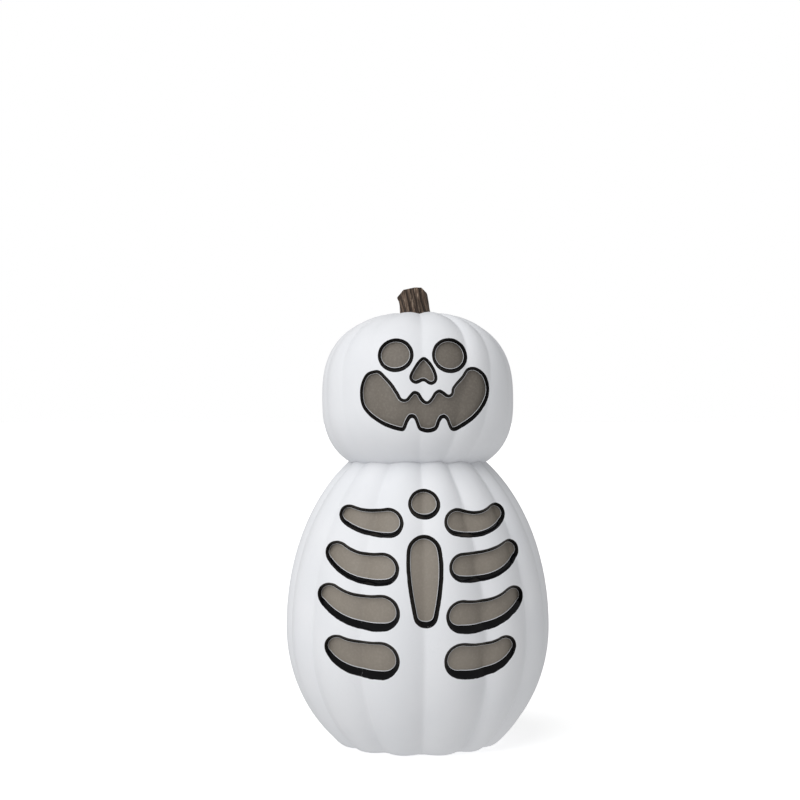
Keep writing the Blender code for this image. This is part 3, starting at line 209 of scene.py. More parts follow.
class Pumpkin:
    """A lobed shell. Its outer face is a function of u, the place round the axis counted in lobes, and of w,
    from 0 at its lower edge to 1 at its upper edge.

    The section is a superellipse, r = R cos(t)^p and z = z0 + h sin(t)^p, with one p above the widest ring
    and one below it, laid out evenly along its own length. At a crease the face sinks along the section's
    normal by about depth * (1 - d)^CREASE_POWER, where d is 0 in the crease and 1 in mid lobe."""

    def __init__(self, sizes, creases, powers, low, high, fade, dip=0.0, tilt=0.0, back=0.0):
        self.radius, self.pivot, self.depth = sizes.radius, sizes.widest_z, sizes.crease
        self.tilt, self.back, self.fade = tilt, back, fade
        angle = np.linspace(low, high, 4001)
        tall = np.where(angle > 0, sizes.rise, sizes.drop)
        power = np.where(angle > 0, *powers)
        radius = sizes.radius * np.abs(np.cos(angle)) ** power
        height = sizes.widest_z + tall * np.sign(angle) * np.abs(np.sin(angle)) ** power
        height -= np.where(angle > 0, dip * np.clip(1 - radius / DIP_RADIUS, 0, 1) ** 2, 0)
        run = np.concatenate([[0], np.cumsum(np.hypot(np.diff(radius), np.diff(height)))])
        self.length = run[-1]
        self.share = np.linspace(0, 1, 801)
        self.r = np.interp(self.share * run[-1], run, radius)
        self.z = np.interp(self.share * run[-1], run, height)
        slope_r, slope_z = np.gradient(self.r), np.gradient(self.z)
        size = np.hypot(slope_r, slope_z)
        self.nr, self.nz = slope_z / size, -slope_r / size
        lines = np.radians(np.array(creases, float)[:, :2])
        self.strength = np.array([*(crease[2] for crease in creases), creases[0][2]])
        lines[:, 0] = np.unwrap(lines[:, 0])
        lines[:, 1] = np.unwrap(lines[:, 1])
        self.lines = np.vstack([lines, lines[:1] + TAU])
        self.lobes = len(creases)
        self.floor = np.zeros(self.lobes * FLOOR_STEPS + 1)

    def crease_lines(self, v):
        """Azimuth of every crease at the height shares v."""
        ease = np.clip(v, 0, 1)[:, None]
        return self.lines[None, :, 0] * (1 - ease) + self.lines[None, :, 1] * ease

    def azimuth(self, u, v):
        lobe = np.clip(np.floor(u).astype(int), 0, self.lobes - 1)
        lines = self.crease_lines(v)
        row = np.arange(len(u))
        start, end = lines[row, lobe], lines[row, lobe + 1]
        return start + (end - start) * (u - lobe)

    def lobe_of(self, azimuth, v):
        """The u that has this azimuth at this height share."""
        lines = self.crease_lines(v)
        turned = lines[:, 0] + np.mod(azimuth - lines[:, 0], TAU)
        lobe = np.clip((lines <= turned[:, None]).sum(1) - 1, 0, self.lobes - 1)
        row = np.arange(len(v))
        start, end = lines[row, lobe], lines[row, lobe + 1]
        return lobe + (turned - start) / (end - start)

    def sunk(self, u, v, azimuth):
        """Distance that the face sinks below the plain section."""
        from_crease = np.hypot(2 * (u - np.round(u)), CREASE_SOFTNESS)
        ease = np.clip(1 + CREASE_SOFTNESS - from_crease, 0, 1) ** CREASE_POWER
        narrow = np.minimum(1, 1.6 * np.interp(v, self.share, self.r) / self.radius)
        faded = np.interp(v, FADE_STOPS, self.fade) * narrow
        return self.depth * self.strength[np.round(u).astype(int)] * faded * ease + undulation(azimuth, v)

    def upright(self, u, v, inward=0.0):
        """(radius, height, azimuth) before the tilt."""
        azimuth = self.azimuth(u, v)
        push = self.sunk(u, v, azimuth) + inward
        radius = np.interp(v, self.share, self.r) - np.interp(v, self.share, self.nr) * push
        height = np.interp(v, self.share, self.z) - np.interp(v, self.share, self.nz) * push
        return radius, height, azimuth

    def placed(self, u, v, inward=0.0):
        radius, height, azimuth = self.upright(u, v, inward)
        x, y, z = radius * np.sin(azimuth), -radius * np.cos(azimuth), height - self.pivot
        cos, sin = math.cos(-self.tilt), math.sin(-self.tilt)
        return np.column_stack([x, y * cos - z * sin + self.back, y * sin + z * cos + self.pivot])

    def share_up(self, u, w):
        """The height share v at w, above the lower edge cut into the shell."""
        floor = np.interp(np.mod(u, self.lobes) * FLOOR_STEPS, np.arange(len(self.floor)), self.floor)
        return floor + (1 - floor) * w

    def point(self, u, w, inward=0.0):
        return self.placed(u, self.share_up(u, w), inward)

    def radius_at(self, azimuth, height):
        """Radius of the untilted outer face at this azimuth and height, found by four corrections."""
        v = np.interp(height, self.z, self.share)
        for _ in range(4):
            push = self.sunk(self.lobe_of(azimuth, v), v, azimuth)
            v = np.interp(height + np.interp(v, self.share, self.nz) * push, self.z, self.share)
        push = self.sunk(self.lobe_of(azimuth, v), v, azimuth)
        return np.interp(v, self.share, self.r) - np.interp(v, self.share, self.nr) * push

    def sit_on(self, other, gap):
        """Cuts the lower edge where this shell meets the other one, found by halving at each u."""
        u = np.arange(len(self.floor)) / FLOOR_STEPS
        low, high = np.zeros(len(u)), np.full(len(u), 0.5)
        for _ in range(40):
            middle = (low + high) / 2
            spot = self.placed(np.minimum(u, self.lobes - 1e-9), middle)
            reach = np.hypot(spot[:, 0], spot[:, 1])
            outside = reach > other.radius_at(np.arctan2(spot[:, 0], -spot[:, 1]), spot[:, 2]) + gap
            low, high = np.where(outside, low, middle), np.where(outside, middle, high)
        self.floor = high

    def locate(self, x, z, inward=0.0):
        """The (u, w) whose point has these two coordinates on the front face, by damped Newton steps."""
        goal = np.column_stack([x, z])
        level = np.interp(z, self.z, self.share)
        reach = np.interp(level, self.share, self.r)
        azimuth = np.arcsin(np.clip(x / np.maximum(reach, 1e-6), -0.95, 0.95))
        u = self.lobe_of(np.mod(azimuth, TAU), level)
        w = np.clip(level, 0.02, 0.97)
        step = 1e-4
        for i in range(60):
            here = self.point(np.mod(u, self.lobes), w, inward)[:, ::2]
            miss = goal - here
            if i and np.abs(miss).max() < 1e-6:
                break
            along = (self.point(np.mod(u + step, self.lobes), w, inward)[:, ::2] - here) / step
            up = (self.point(np.mod(u, self.lobes), w + step, inward)[:, ::2] - here) / step
            det = along[:, 0] * up[:, 1] - along[:, 1] * up[:, 0]
            du = (miss[:, 0] * up[:, 1] - miss[:, 1] * up[:, 0]) / det
            dw = (along[:, 0] * miss[:, 1] - along[:, 1] * miss[:, 0]) / det
            u = u + np.clip(du, -0.15, 0.15) * 0.8
            w = np.clip(w + np.clip(dw, -0.05, 0.05) * 0.8, 0, 1)
        if np.abs(miss).max() > 0.05 * MM:
            raise RuntimeError(f"a window outline was not placed: off by {np.abs(miss).max() / MM:.2f} mm")
        return np.mod(u, self.lobes), w


def body_pumpkin():
    sizes = settings()[0]
    low = -math.asin((sizes.widest_z - BODY_EDGE_Z) / sizes.drop)
    high = math.acos(sizes.neck / sizes.radius)
    return Pumpkin(sizes, BODY_CREASES, BODY_POWERS, low, high, BODY_FADE)


def head_pumpkin(body):
    sizes = settings()[1]
    top = HEAD_HIGHEST
    while sizes.radius * math.cos(top) ** HEAD_POWERS[0] < HEAD_TOP_HOLE:
        top -= math.radians(0.05)
    head = Pumpkin(sizes, HEAD_CREASES, HEAD_POWERS, HEAD_LOWEST, top, HEAD_FADE, HEAD_DIP, sizes.tilt,
                   sizes.back)
    head.sit_on(body, SEAT_GAP)
    return head


# ---- windows -------------------------------------------------------------------------------------


OUTLINE_STEP, MOUTH_STEP = 1.1, 0.9  # millimetres between the points of an outline
BATCH = 4000  # points measured against an outline at once


def outward(loop):
    """Unit normals of a closed loop that runs anticlockwise, from each point's two neighbours."""
    run = np.roll(loop, -1, axis=0) - np.roll(loop, 1, axis=0)
    run = run / np.hypot(*run.T)[:, None]
    return np.column_stack([run[:, 1], -run[:, 0]])


def even_loop(points, spacing=OUTLINE_STEP):
    """A closed line through the points, sampled evenly: cubic between points, with Catmull-Rom slopes."""
    points = np.array(points, float)
    p0, p1, p2, p3 = (np.roll(points, shift, axis=0)[:, None] for shift in (1, 0, -1, -2))
    t = np.linspace(0, 1, 12, endpoint=False)[None, :, None]
    line = 0.5 * (2 * p1 + (p2 - p0) * t + (2 * p0 - 5 * p1 + 4 * p2 - p3) * t ** 2
                  + (3 * p1 - p0 - 3 * p2 + p3) * t ** 3)
    return resample(line.reshape(-1, 2), spacing)


def resample(loop, spacing=OUTLINE_STEP):
    """The closed line with its points evenly spaced, anticlockwise."""
    closed = np.vstack([loop, loop[:1]])
    run = np.concatenate([[0], np.cumsum(np.hypot(*np.diff(closed, axis=0).T))])
    stops = np.linspace(0, run[-1], max(16, round(run[-1] / spacing)), endpoint=False)
    even = np.column_stack([np.interp(stops, run, closed[:, k]) for k in (0, 1)])
    ahead = np.roll(even, -1, axis=0)
    area = (even[:, 0] * ahead[:, 1] - ahead[:, 0] * even[:, 1]).sum()
    return even if area > 0 else even[::-1]


def oval_loop(x, z, across, up, tilt):
    """An ellipse, turned by tilt degrees."""
    angle = np.linspace(0, TAU, 96, endpoint=False)
    turn = math.radians(tilt)
    a, b = across * np.cos(angle), up * np.sin(angle)
    return resample(np.column_stack([x + a * math.cos(turn) - b * math.sin(turn),
                                     z + a * math.sin(turn) + b * math.cos(turn)]))


def bean_loop(circles):
    """Envelope of a circle whose centre and radius run as a parabola through the three given circles."""
    circles = np.array(circles, float)

    def at(t):
        weights = np.column_stack([(2 * t - 1) * (t - 1), 4 * t * (1 - t), t * (2 * t - 1)])
        return weights @ circles

    t = np.linspace(0, 1, 60)
    step = (at(t + 0.001) - at(t - 0.001)) / 0.002
    heading = np.arctan2(step[:, 1], step[:, 0])
    lean = math.pi / 2 + np.arcsin(step[:, 2] / np.hypot(step[:, 0], step[:, 1]))
    tip = heading[-1] + np.linspace(lean[-1], -lean[-1], 30)[1:-1]
    root = heading[0] - np.linspace(lean[0], TAU - lean[0], 40)[1:-1]
    place = np.concatenate([t, np.ones(len(tip)), t[::-1], np.zeros(len(root))])
    angle = np.concatenate([heading + lean, tip, (heading - lean)[::-1], root])
    spot = at(place)
    return resample(spot[:, :2] + spot[:, 2:] * np.column_stack([np.cos(angle), np.sin(angle)]))


def to_segments(points, loop):
    """Distance of each point to the loop's nearest segment."""
    start, run = loop, np.roll(loop, -1, axis=0) - loop
    nearest = np.full(len(points), np.inf)
    for chunk in range(0, len(points), BATCH):
        offset = points[chunk:chunk + BATCH, None] - start[None]
        share = np.clip((offset * run).sum(2) / (run ** 2).sum(1), 0, 1)
        gap = offset - share[..., None] * run
        nearest[chunk:chunk + BATCH] = np.sqrt((gap ** 2).sum(2).min(1))
    return nearest


def inside(points, loop):
    """True where a point lies inside the loop, by counting the edges it passes under."""
    (x0, y0), (x1, y1) = loop.T, np.roll(loop, -1, axis=0).T
    found = np.zeros(len(points), bool)
    for chunk in range(0, len(points), BATCH):
        px, py = points[chunk:chunk + BATCH, :1], points[chunk:chunk + BATCH, 1:]
        straddles = (y0 > py) != (y1 > py)
        rise = np.where(y1 == y0, 1e-12, y1 - y0)
        crossing = x0 + (py - y0) / rise * (x1 - x0)
        found[chunk:chunk + BATCH] = (straddles & (px < crossing)).sum(1) % 2 == 1
    return found


def inner_loop(loop, lip, sill):
    """The loop moved inwards by the lip, and by up to the sill more along its lower edge. Points that would
    fold over are laid evenly between their neighbours."""
    normal = outward(loop)
    width = lip + sill * np.clip(-normal[:, 1], 0, 1) ** 2
    moved = loop - normal * width[:, None]
    kept = np.flatnonzero(to_segments(moved, loop) > 0.93 * np.minimum(width, lip + 0.35 * sill))
    index = np.arange(len(loop))
    padded = np.concatenate([kept - len(loop), kept, kept + len(loop)])
    return np.column_stack([np.interp(index, padded, np.tile(moved[kept, k], 3)) for k in (0, 1)])


class Window:
    """An opening: the outer and inner edges of its black wall."""

    def __init__(self, outline, lip, sill=0.0):
        self.outer = outline
        self.inner = inner_loop(outline, lip, sill)


def body_windows(lip):
    found = [Window(oval_loop(*CHEST_ROUND), lip, ROUND_SILL),
             Window(bean_loop(BREASTBONE), BREASTBONE_LIP * lip, BREASTBONE_SILL)]
    return found + [Window(bean_loop(rib), lip, sill) for rib, sill in zip(RIBS, RIB_SILLS)]


def head_windows(lip):
    found = [Window(even_loop(NOSE), NOSE_LIP * lip, NOSE_SILL),
             Window(even_loop(MOUTH, MOUTH_STEP), MOUTH_LIP * lip, MOUTH_SILL)]
    return found + [Window(oval_loop(*eye), lip, EYE_SILL) for eye in EYES]


# ---- shell meshes --------------------------------------------------------------------------------


LOBE_STEPS = np.linspace(0, 1, 26, endpoint=False)
LOBE_SHARES = LOBE_STEPS - 0.35 * np.sin(TAU * LOBE_STEPS) / TAU  # closer together at the creases
CLEAR_OF_WINDOW = 1.9  # millimetres from a window's edge to the regular grid
HALO = 0.9  # millimetres outside a window's edge, where a ring of points gives the paint a clean edge
FAR = 8.0  # millimetres: the paint distance stops counting here

# Foot under the body shell, in millimetres: radius, height and share of the crease depth, down the outside,
# over the standing ring, up into the base plate's recess and over its ledge
FOOT = (
    (68.8, 2.9, 0.9), (66.2, 1.4, 0.85), (63.2, 0.45, 0.75), (60.2, 0.0, 0.6), (54.3, 0.0, 0.0),
    (54.1, 0.2, 0.0), (54.1, 4.9, 0.0), (47.2, 4.9, 0.0), (47.0, 5.1, 0.0), (47.0, 8.9, 0.0),
)
FOOT_LIFT = 0.35  # share of the crease depth by which a crease lifts off the ground


class Skin:
    """One face of a shell as a grid over (u, w), with the windows' edges worked into it."""

    def __init__(self, pumpkin, rows, inward, loops):
        self.pumpkin, self.inward = pumpkin, inward
        self.columns = (np.arange(pumpkin.lobes)[:, None] + LOBE_SHARES).ravel()
        self.rows = np.linspace(0, 1, rows)
        count = len(self.columns)
        u, w = np.meshgrid(self.columns, self.rows)
        self.points = pumpkin.point(u.ravel(), w.ravel(), inward)
        front = self.points[:, [0, 2]] / MM
        self.distance = np.full(len(self.points), FAR)
        for loop in loops:
            low, high = loop.min(0) - FAR, loop.max(0) + FAR
            near = np.flatnonzero((self.points[:, 1] < 0) & (front > low).all(1) & (front < high).all(1))
            far = to_segments(front[near], loop)
            signed = np.where(inside(front[near], loop), -far, far)
            self.distance[near] = np.minimum(self.distance[near], signed)
        quads = grid_faces(rows, count).reshape(rows - 1, count, 4)
        shut = (self.distance[quads] > CLEAR_OF_WINDOW).all(-1)
        self.open_cells = ~shut
        self.quads = quads[shut]
        self.scale = np.array([pumpkin.radius * TAU / pumpkin.lobes, pumpkin.length])
        self.fill(quads, loops)

    def flat(self, u, w):
        """(u, w) in metres on a sheet whose middle is the front."""
        lobes = self.pumpkin.lobes
        return np.column_stack([np.where(u > lobes / 2, u - lobes, u), w]) * self.scale

    def place_loop(self, loop):
        """Adds points of the shell's face that are seen at the loop's; returns their ids and flat places."""
        u, w = self.pumpkin.locate(loop[:, 0] * MM, loop[:, 1] * MM, self.inward)
        ids = len(self.points) + np.arange(len(loop))
        self.points = np.vstack([self.points, self.pumpkin.point(u, w, self.inward)])
        return ids, self.flat(u, w)

    def fill(self, quads, loops):
        """Joins the grid round the windows to their edges with a Delaunay triangulation over (u, w)."""
        ring = edges_of_patch(quads[self.open_cells])
        used, ring = np.unique(ring, return_inverse=True)
        ring = ring.reshape(-1, 2)
        count = len(self.columns)
        flat = [self.flat(self.columns[used % count], self.rows[used // count])]
        edges, ids, start = [ring], [used], len(used)
        self.edges, outlines = [], []
        for loop in loops:
            index = start + np.arange(len(loop))
            edges.append(np.column_stack([index, np.roll(index, -1)]))
            start += len(loop)
            edge, outline = self.place_loop(loop)
            self.edges.append(edge)
            outlines.append(outline)
        halo = self.halo(loops)
        halo_ids, halo_spots = self.place_loop(halo)
        on_edges = np.zeros(sum(map(len, loops)))
        self.distance = np.concatenate([self.distance, on_edges, np.full(len(halo), HALO)])
        flat, edges = np.vstack(flat + outlines + [halo_spots]), np.vstack(edges)
        ids = np.concatenate(ids + self.edges + [halo_ids])
        made = delaunay_2d_cdt([Vector(spot) for spot in flat.tolist()], edges.tolist(), [], 0, 1e-9)
        origin = np.array([source[0] if source else -1 for source in made[3]])
        if (origin < 0).any():
            raise RuntimeError("two window edges cross on the shell")
        triangles = origin[np.array(made[2])]
        middle = flat[triangles].mean(1)
        column = np.mod(middle[:, 0] / self.scale[0], self.pumpkin.lobes)
        column = np.clip(np.searchsorted(self.columns, column, side="right") - 1, 0, len(self.columns) - 1)
        row = np.searchsorted(self.rows, middle[:, 1] / self.scale[1], side="right") - 1
        row = np.clip(row, 0, len(self.rows) - 2)
        wanted = self.open_cells[row, column]
        for outline in outlines:
            wanted &= ~inside(middle, outline)
        self.triangles = ids[triangles[wanted]]

    def halo(self, loops):
        """Points just outside every window, where they are clear of all the others."""
        found = np.vstack([(loop + HALO * outward(loop))[::2] for loop in loops])
        gap = np.min([to_segments(found, loop) for loop in loops], axis=0)
        return found[(gap > 0.85 * HALO) & ~np.any([inside(found, loop) for loop in loops], axis=0)]

    def row_ids(self, row):
        """Point ids of the lowest row, 0, or of the highest, -1."""
        count = len(self.columns)
        return np.arange(len(self.rows) * count).reshape(-1, count)[row]

    def facing_out(self):
        """The filling triangles, each turned to face away from the shell's middle."""
        corner = self.points[self.triangles]
        normal = np.cross(corner[:, 1] - corner[:, 0], corner[:, 2] - corner[:, 0])
        middle = corner.mean(1) - np.array([0, 0, self.pumpkin.pivot])
        return np.where(((normal * middle).sum(1) > 0)[:, None], self.triangles, self.triangles[:, ::-1])


def edges_of_patch(quads):
    """Edges that belong to only one of the quads."""
    ends = np.sort(np.concatenate([quads[:, [i, (i + 1) % 4]] for i in range(4)]), axis=1)
    edge, uses = np.unique(ends, axis=0, return_counts=True)
    return edge[uses == 1]


def ring_strip(lower, upper):
    """Quads between two closed rows of equal length."""
    return np.column_stack([lower, np.roll(lower, -1), np.roll(upper, -1), upper])


# Shares of the turn inwards and of its depth
ROUNDED_EDGE = ((0.22, 0.03), (0.45, 0.12), (0.68, 0.28), (0.87, 0.52), (1.0, 0.8))
EDGE_TURN = 1.15  # millimetres inwards
EDGE_DEEP = 0.30  # share of the wall
PAINT_DEEP = -2.8  # paint value at a window's inner edge


def wall_rows(window, bare):
    """Rows from a window's outer edge to its inner one: (share of the way inwards as seen from the front,
    share of the way through the wall). The first five round the edge over, and the last two are unpainted,
    drawn darker as painted shade."""
    width = np.hypot(*(window.outer - window.inner).T).mean()
    turn = EDGE_TURN / width
    rounded = [(turn * inwards, EDGE_DEEP * deep) for inwards, deep in ROUNDED_EDGE]
    edge = 1 - bare / width
    return rounded + [((turn + edge) / 2, 0.62), (edge, 0.93), (edge + 0.02, 0.94)]


def shell_mesh(pumpkin, windows, wall, rows, inner_rows, foot, bare):
    """Points, faces, paint distance and unpainted mask of a whole shell: outer and inner skins, window walls,
    the foot profile or lower edge, and the rim. The unpainted faces are drawn darker, as painted shade."""
    outer = Skin(pumpkin, rows, 0.0, [window.outer for window in windows])
    inner = Skin(pumpkin, inner_rows, wall, [window.inner for window in windows])
    points, shift = [outer.points, inner.points], len(outer.points)
    paint = [outer.distance, np.full(len(inner.points), -1.0)]
    # Painted shade: the inner skin, the last wall row and the foot's recess are unpainted and drawn darker.
    bareness = [np.zeros(len(outer.points)), np.ones(len(inner.points))]
    quads = [outer.quads, shift + inner.quads[:, ::-1]]
    triangles = [outer.facing_out(), shift + inner.facing_out()[:, ::-1]]
    total = shift + len(inner.points)
    for window, near, far in zip(windows, outer.edges, inner.edges):
        start, end = outer.points[near], inner.points[far]
        last = near
        rows_through = wall_rows(window, bare)
        for number, (across, through) in enumerate(rows_through):
            flat = window.outer + (window.inner - window.outer) * across
            spot = start + (end - start) * through
            spot[:, 0], spot[:, 2] = flat[:, 0] * MM, flat[:, 1] * MM
            index = total + np.arange(len(near))
            points.append(spot)
            paint.append(np.full(len(near), across * PAINT_DEEP))
            bareness.append(np.full(len(near), 1.0 if number == len(rows_through) - 1 else 0.0))
            quads.append(ring_strip(last, index)[:, ::-1])
            total += len(near)
            last = index
        quads.append(ring_strip(last, shift + far)[:, ::-1])
    last = outer.row_ids(0)
    azimuth = pumpkin.azimuth(outer.columns, np.zeros(len(outer.columns)))
    for radius, height, share in foot:
        sink = share * pumpkin.sunk(outer.columns, np.zeros(len(azimuth)), azimuth)
        index = total + np.arange(len(azimuth))
        reach = radius - sink
        lifted = height + FOOT_LIFT * np.maximum(sink, 0)
        points.append(np.column_stack([reach * np.sin(azimuth), -reach * np.cos(azimuth), lifted]))
        paint.append(np.full(len(azimuth), FAR))
        bareness.append(np.full(len(azimuth), 0.0 if share or height < 0.5 * MM else 1.0))
        quads.append(ring_strip(index, last))
        total += len(azimuth)
        last = index
    quads.append(ring_strip(shift + inner.row_ids(0), last))
    quads.append(ring_strip(outer.row_ids(-1), shift + inner.row_ids(-1)))
    return (np.vstack(points), np.vstack(quads), np.vstack(triangles), np.concatenate(paint),
            np.concatenate(bareness))


# ---- pieces in general ---------------------------------------------------------------------------


def add_piece(name, points, faces, material, body, slot, replaces=(), sharp=40.0, **attributes):
    """A mesh piece that rides on a body, smooth except along edges sharper than the given angle."""
    mesh = bpy.data.meshes.new(name)
    mesh.from_pydata(np.asarray(points).tolist(), [], faces)
    for key, values in attributes.items():
        layer = mesh.attributes.new(key, "FLOAT", "POINT")
        layer.data.foreach_set("value", np.asarray(values, np.float32))
    mesh.shade_smooth()
    mesh.set_sharp_from_angle(angle=math.radians(sharp))
    mesh.materials.append(material)
    mesh.validate()
    obj = bpy.data.objects.new(name, mesh)
    bpy.context.scene.collection.objects.link(obj)
    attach(obj, body)
    if replaces:
        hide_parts(*replaces)
    return obj


def grid_faces(rows, count, closed=True):
    """Quads over rows of equal length; closed joins each row's end to its start."""
    cell = np.arange((rows - 1) * count).reshape(rows - 1, count)
    if closed:
        right = cell + np.where(np.arange(count) == count - 1, 1 - count, 1)
    else:
        cell, right = cell[:, :-1], cell[:, 1:]
    return np.stack([cell, right, right + count, cell + count], axis=-1).reshape(-1, 4)


# ---- materials -----------------------------------------------------------------------------------


def add_node(tree, kind, values=None, **options):
    """A new node with its options set; values go to its inputs, as links where they are sockets."""
    node = tree.nodes.new(kind)
    for key, value in options.items():
        setattr(node, key, value)
    for key, value in (values or {}).items():
        if isinstance(value, bpy.types.NodeSocket):
            tree.links.new(value, node.inputs[key])
        else:
            node.inputs[key].default_value = value
    return node


def maths(tree, operation, first, second=0.0, third=0.0):
    values = {0: first, 1: second, 2: third}
    return add_node(tree, "ShaderNodeMath", values, operation=operation).outputs[0]


def times(tree, first, second):
    return maths(tree, "MULTIPLY", first, second)


def plus(tree, first, second):
    return maths(tree, "ADD", first, second)


def span(tree, value, low, high, start=0.0, end=1.0):
    """Goes smoothly from start to end as the value goes from low to high."""
    values = {"Value": value, "From Min": low, "From Max": high, "To Min": start, "To Max": end}
    return add_node(tree, "ShaderNodeMapRange", values, interpolation_type="SMOOTHSTEP").outputs[0]


def blend_colours(tree, share, first, second):
    values = {0: share}
    for key, colour_in in ((6, first), (7, second)):
        linked = isinstance(colour_in, bpy.types.NodeSocket)
        values[key] = colour_in if linked else (*colour_in, 1.0)
    return add_node(tree, "ShaderNodeMix", values, data_type="RGBA").outputs[2]


def dim(tone, factor):
    return tuple(min(1.0, part * factor) for part in tone)


def object_place(tree, stretch=(1, 1, 1)):
    place = add_node(tree, "ShaderNodeTexCoord").outputs["Object"]
    if stretch == (1, 1, 1):
        return place
    return add_node(tree, "ShaderNodeMapping", {"Vector": place, "Scale": stretch}).outputs[0]


def noise(tree, place, scale, detail=3.0, roughness=0.5):
    values = {"Vector": place, "Scale": scale, "Detail": detail, "Roughness": roughness}
    return add_node(tree, "ShaderNodeTexNoise", values).outputs[0]


def attribute(tree, name):
    return add_node(tree, "ShaderNodeAttribute", attribute_name=name).outputs["Fac"]


def new_group(name, inputs, outputs):
    """An empty node group with its input and output nodes; inputs are (name, default) pairs."""
    group = bpy.data.node_groups.new(name, "ShaderNodeTree")
    for label, default in inputs:
        kind = "NodeSocketVector" if isinstance(default, tuple) else "NodeSocketFloat"
        socket = group.interface.new_socket(name=label, in_out="INPUT", socket_type=kind)
        socket.default_value = default
    for label in outputs:
        group.interface.new_socket(name=label, in_out="OUTPUT", socket_type="NodeSocketFloat")
    return group, group.nodes.new("NodeGroupInput"), group.nodes.new("NodeGroupOutput")


def mottle_group():
    """Uneven surface: slow clouds, small blotches and a fine grain, each about 0.5 on average."""
    group, given, made = new_group("mottle", (("Place", (0.0, 0.0, 0.0)), ("Scale", 1.0)),
                                   ("Clouds", "Blotches", "Grain"))
    for label, factor, detail in (("Clouds", 22.0, 3.0), ("Blotches", 140.0, 4.0), ("Grain", 900.0, 2.0)):
        scale = times(group, given.outputs["Scale"], factor)
        speckle = noise(group, given.outputs["Place"], scale, detail, 0.55)
        group.links.new(speckle, made.inputs[label])
    return group


def scuff_group():
    """Handling marks: thin scratches that run two ways, masked to patches; 1 on a scratch."""
    group, given, made = new_group("scuffs", (("Place", (0.0, 0.0, 0.0)), ("Scale", 1.0)),
                                   ("Scratches", "Patches"))
    marks = []
    for stretch in ((1.0, 14.0, 3.0), (11.0, 1.4, 4.0)):
        turned = add_node(group, "ShaderNodeMapping", {"Vector": given.outputs["Place"], "Scale": stretch,
                                                       "Rotation": (0.3, 0.5, 0.7)}).outputs[0]
        scale = times(group, given.outputs["Scale"], 60.0)
        line = noise(group, turned, scale, 2.0)
        off_line = maths(group, "ABSOLUTE", maths(group, "SUBTRACT", line, 0.5))
        marks.append(span(group, off_line, 0.0, 0.012, 1.0, 0.0))
    scale = times(group, given.outputs["Scale"], 25.0)
    patch = span(group, noise(group, given.outputs["Place"], scale, 2.0), 0.5, 0.66)
    group.links.new(times(group, maths(group, "MAXIMUM", *marks), patch), made.inputs["Scratches"])
    group.links.new(patch, made.inputs["Patches"])
    return group


def use_group(tree, name, place, scale=1.0):
    make = {"mottle": mottle_group, "scuffs": scuff_group}[name]
    group = bpy.data.node_groups.get(name) or make()
    node = add_node(tree, "ShaderNodeGroup", node_tree=group)
    tree.links.new(place, node.inputs["Place"])
    node.inputs["Scale"].default_value = scale
    return node.outputs


def uneven(tree, mottle, low, high):
    """A value that follows the mottle's blotches between two ends."""
    return span(tree, mottle["Blotches"], 0.3, 0.7, low, high)


def new_material(name, **sockets):
    """A material and its Principled BSDF, with uniform values set on the shader's own sockets."""
    material = bpy.data.materials.new(name)
    material.use_nodes = True
    shader = material.node_tree.nodes["Principled BSDF"]
    for key, value in sockets.items():
        shader.inputs[key.replace("_", " ")].default_value = value
    return material, material.node_tree, shader


def feed(tree, shader, height, strength, distance, **sockets):
    """Links the varying values to the shader, and the height to its normal through a bump."""
    for key, value in sockets.items():
        tree.links.new(value, shader.inputs[key.replace("_", " ")])
    bump = add_node(tree, "ShaderNodeBump", {"Height": height, "Strength": strength, "Distance": distance})
    tree.links.new(bump.outputs[0], shader.inputs["Normal"])


CLOUD_TINT = (0.965, 0.97, 0.975)  # share of the white under the clouds


def shell_material():
    """Satin white paint with a faint mottle and a fine sprayed grain, and thick glossy black brushed round
    the windows. The attribute paint is the distance in millimetres from the black's edge, and the unpainted
    mask is 1 where no paint reaches; those faces are drawn darker than the white, as painted shade."""
    paint = settings()[3]
    material, tree, shader = new_material("shell_paint", IOR=1.46, Specular_IOR_Level=0.08)
    place = object_place(tree)
    mottle = use_group(tree, "mottle", place)
    scuffs = use_group(tree, "scuffs", place, 0.7)
    wobble = times(tree, maths(tree, "SUBTRACT", mottle["Blotches"], 0.5), 0.6)
    edge = plus(tree, attribute(tree, "paint"), wobble)
    black = span(tree, edge, -0.22, -0.02, 1.0, 0.0)
    black = times(tree, black, span(tree, attribute(tree, "bare"), 0.3, 0.7, 1.0, 0.0))
    shade = span(tree, mottle["Clouds"], 0.3, 0.7)
    white = tuple(paint.white)
    tinted = blend_colours(tree, shade, [part * share for part, share in zip(white, CLOUD_TINT)], white)
    tinted = blend_colours(tree, span(tree, mottle["Grain"], 0.70, 0.80, 0.0, 0.25), tinted, dim(white, 0.82))
    tinted = blend_colours(tree, times(tree, scuffs["Scratches"], 0.18), tinted, dim(white, 0.8))
    # Painted shade: unpainted faces (inside, foot recess, window inner edges) drawn at 0.8 of the white.
    tinted = blend_colours(tree, attribute(tree, "bare"), tinted, dim(white, 0.8))
    brushed = blend_colours(tree, mottle["Blotches"], tuple(paint.black), dim(paint.black, 2.2))
    base = blend_colours(tree, black, tinted, brushed)
    satin = plus(tree, uneven(tree, mottle, 0.40, 0.50), times(tree, scuffs["Patches"], 0.05))
    gloss = uneven(tree, mottle, 0.10, 0.20)
    rough = plus(tree, times(tree, satin, maths(tree, "SUBTRACT", 1.0, black)), times(tree, gloss, black))
    sprayed = plus(tree, times(tree, mottle["Grain"], 0.35), times(tree, mottle["Blotches"], 0.65))
    film = plus(tree, black, sprayed)
    feed(tree, shader, film, 0.35, 0.12 * MM, Base_Color=base, Roughness=rough,
         Coat_Weight=times(tree, black, 0.4))
    shader.inputs["Coat Roughness"].default_value = 0.05
    return material


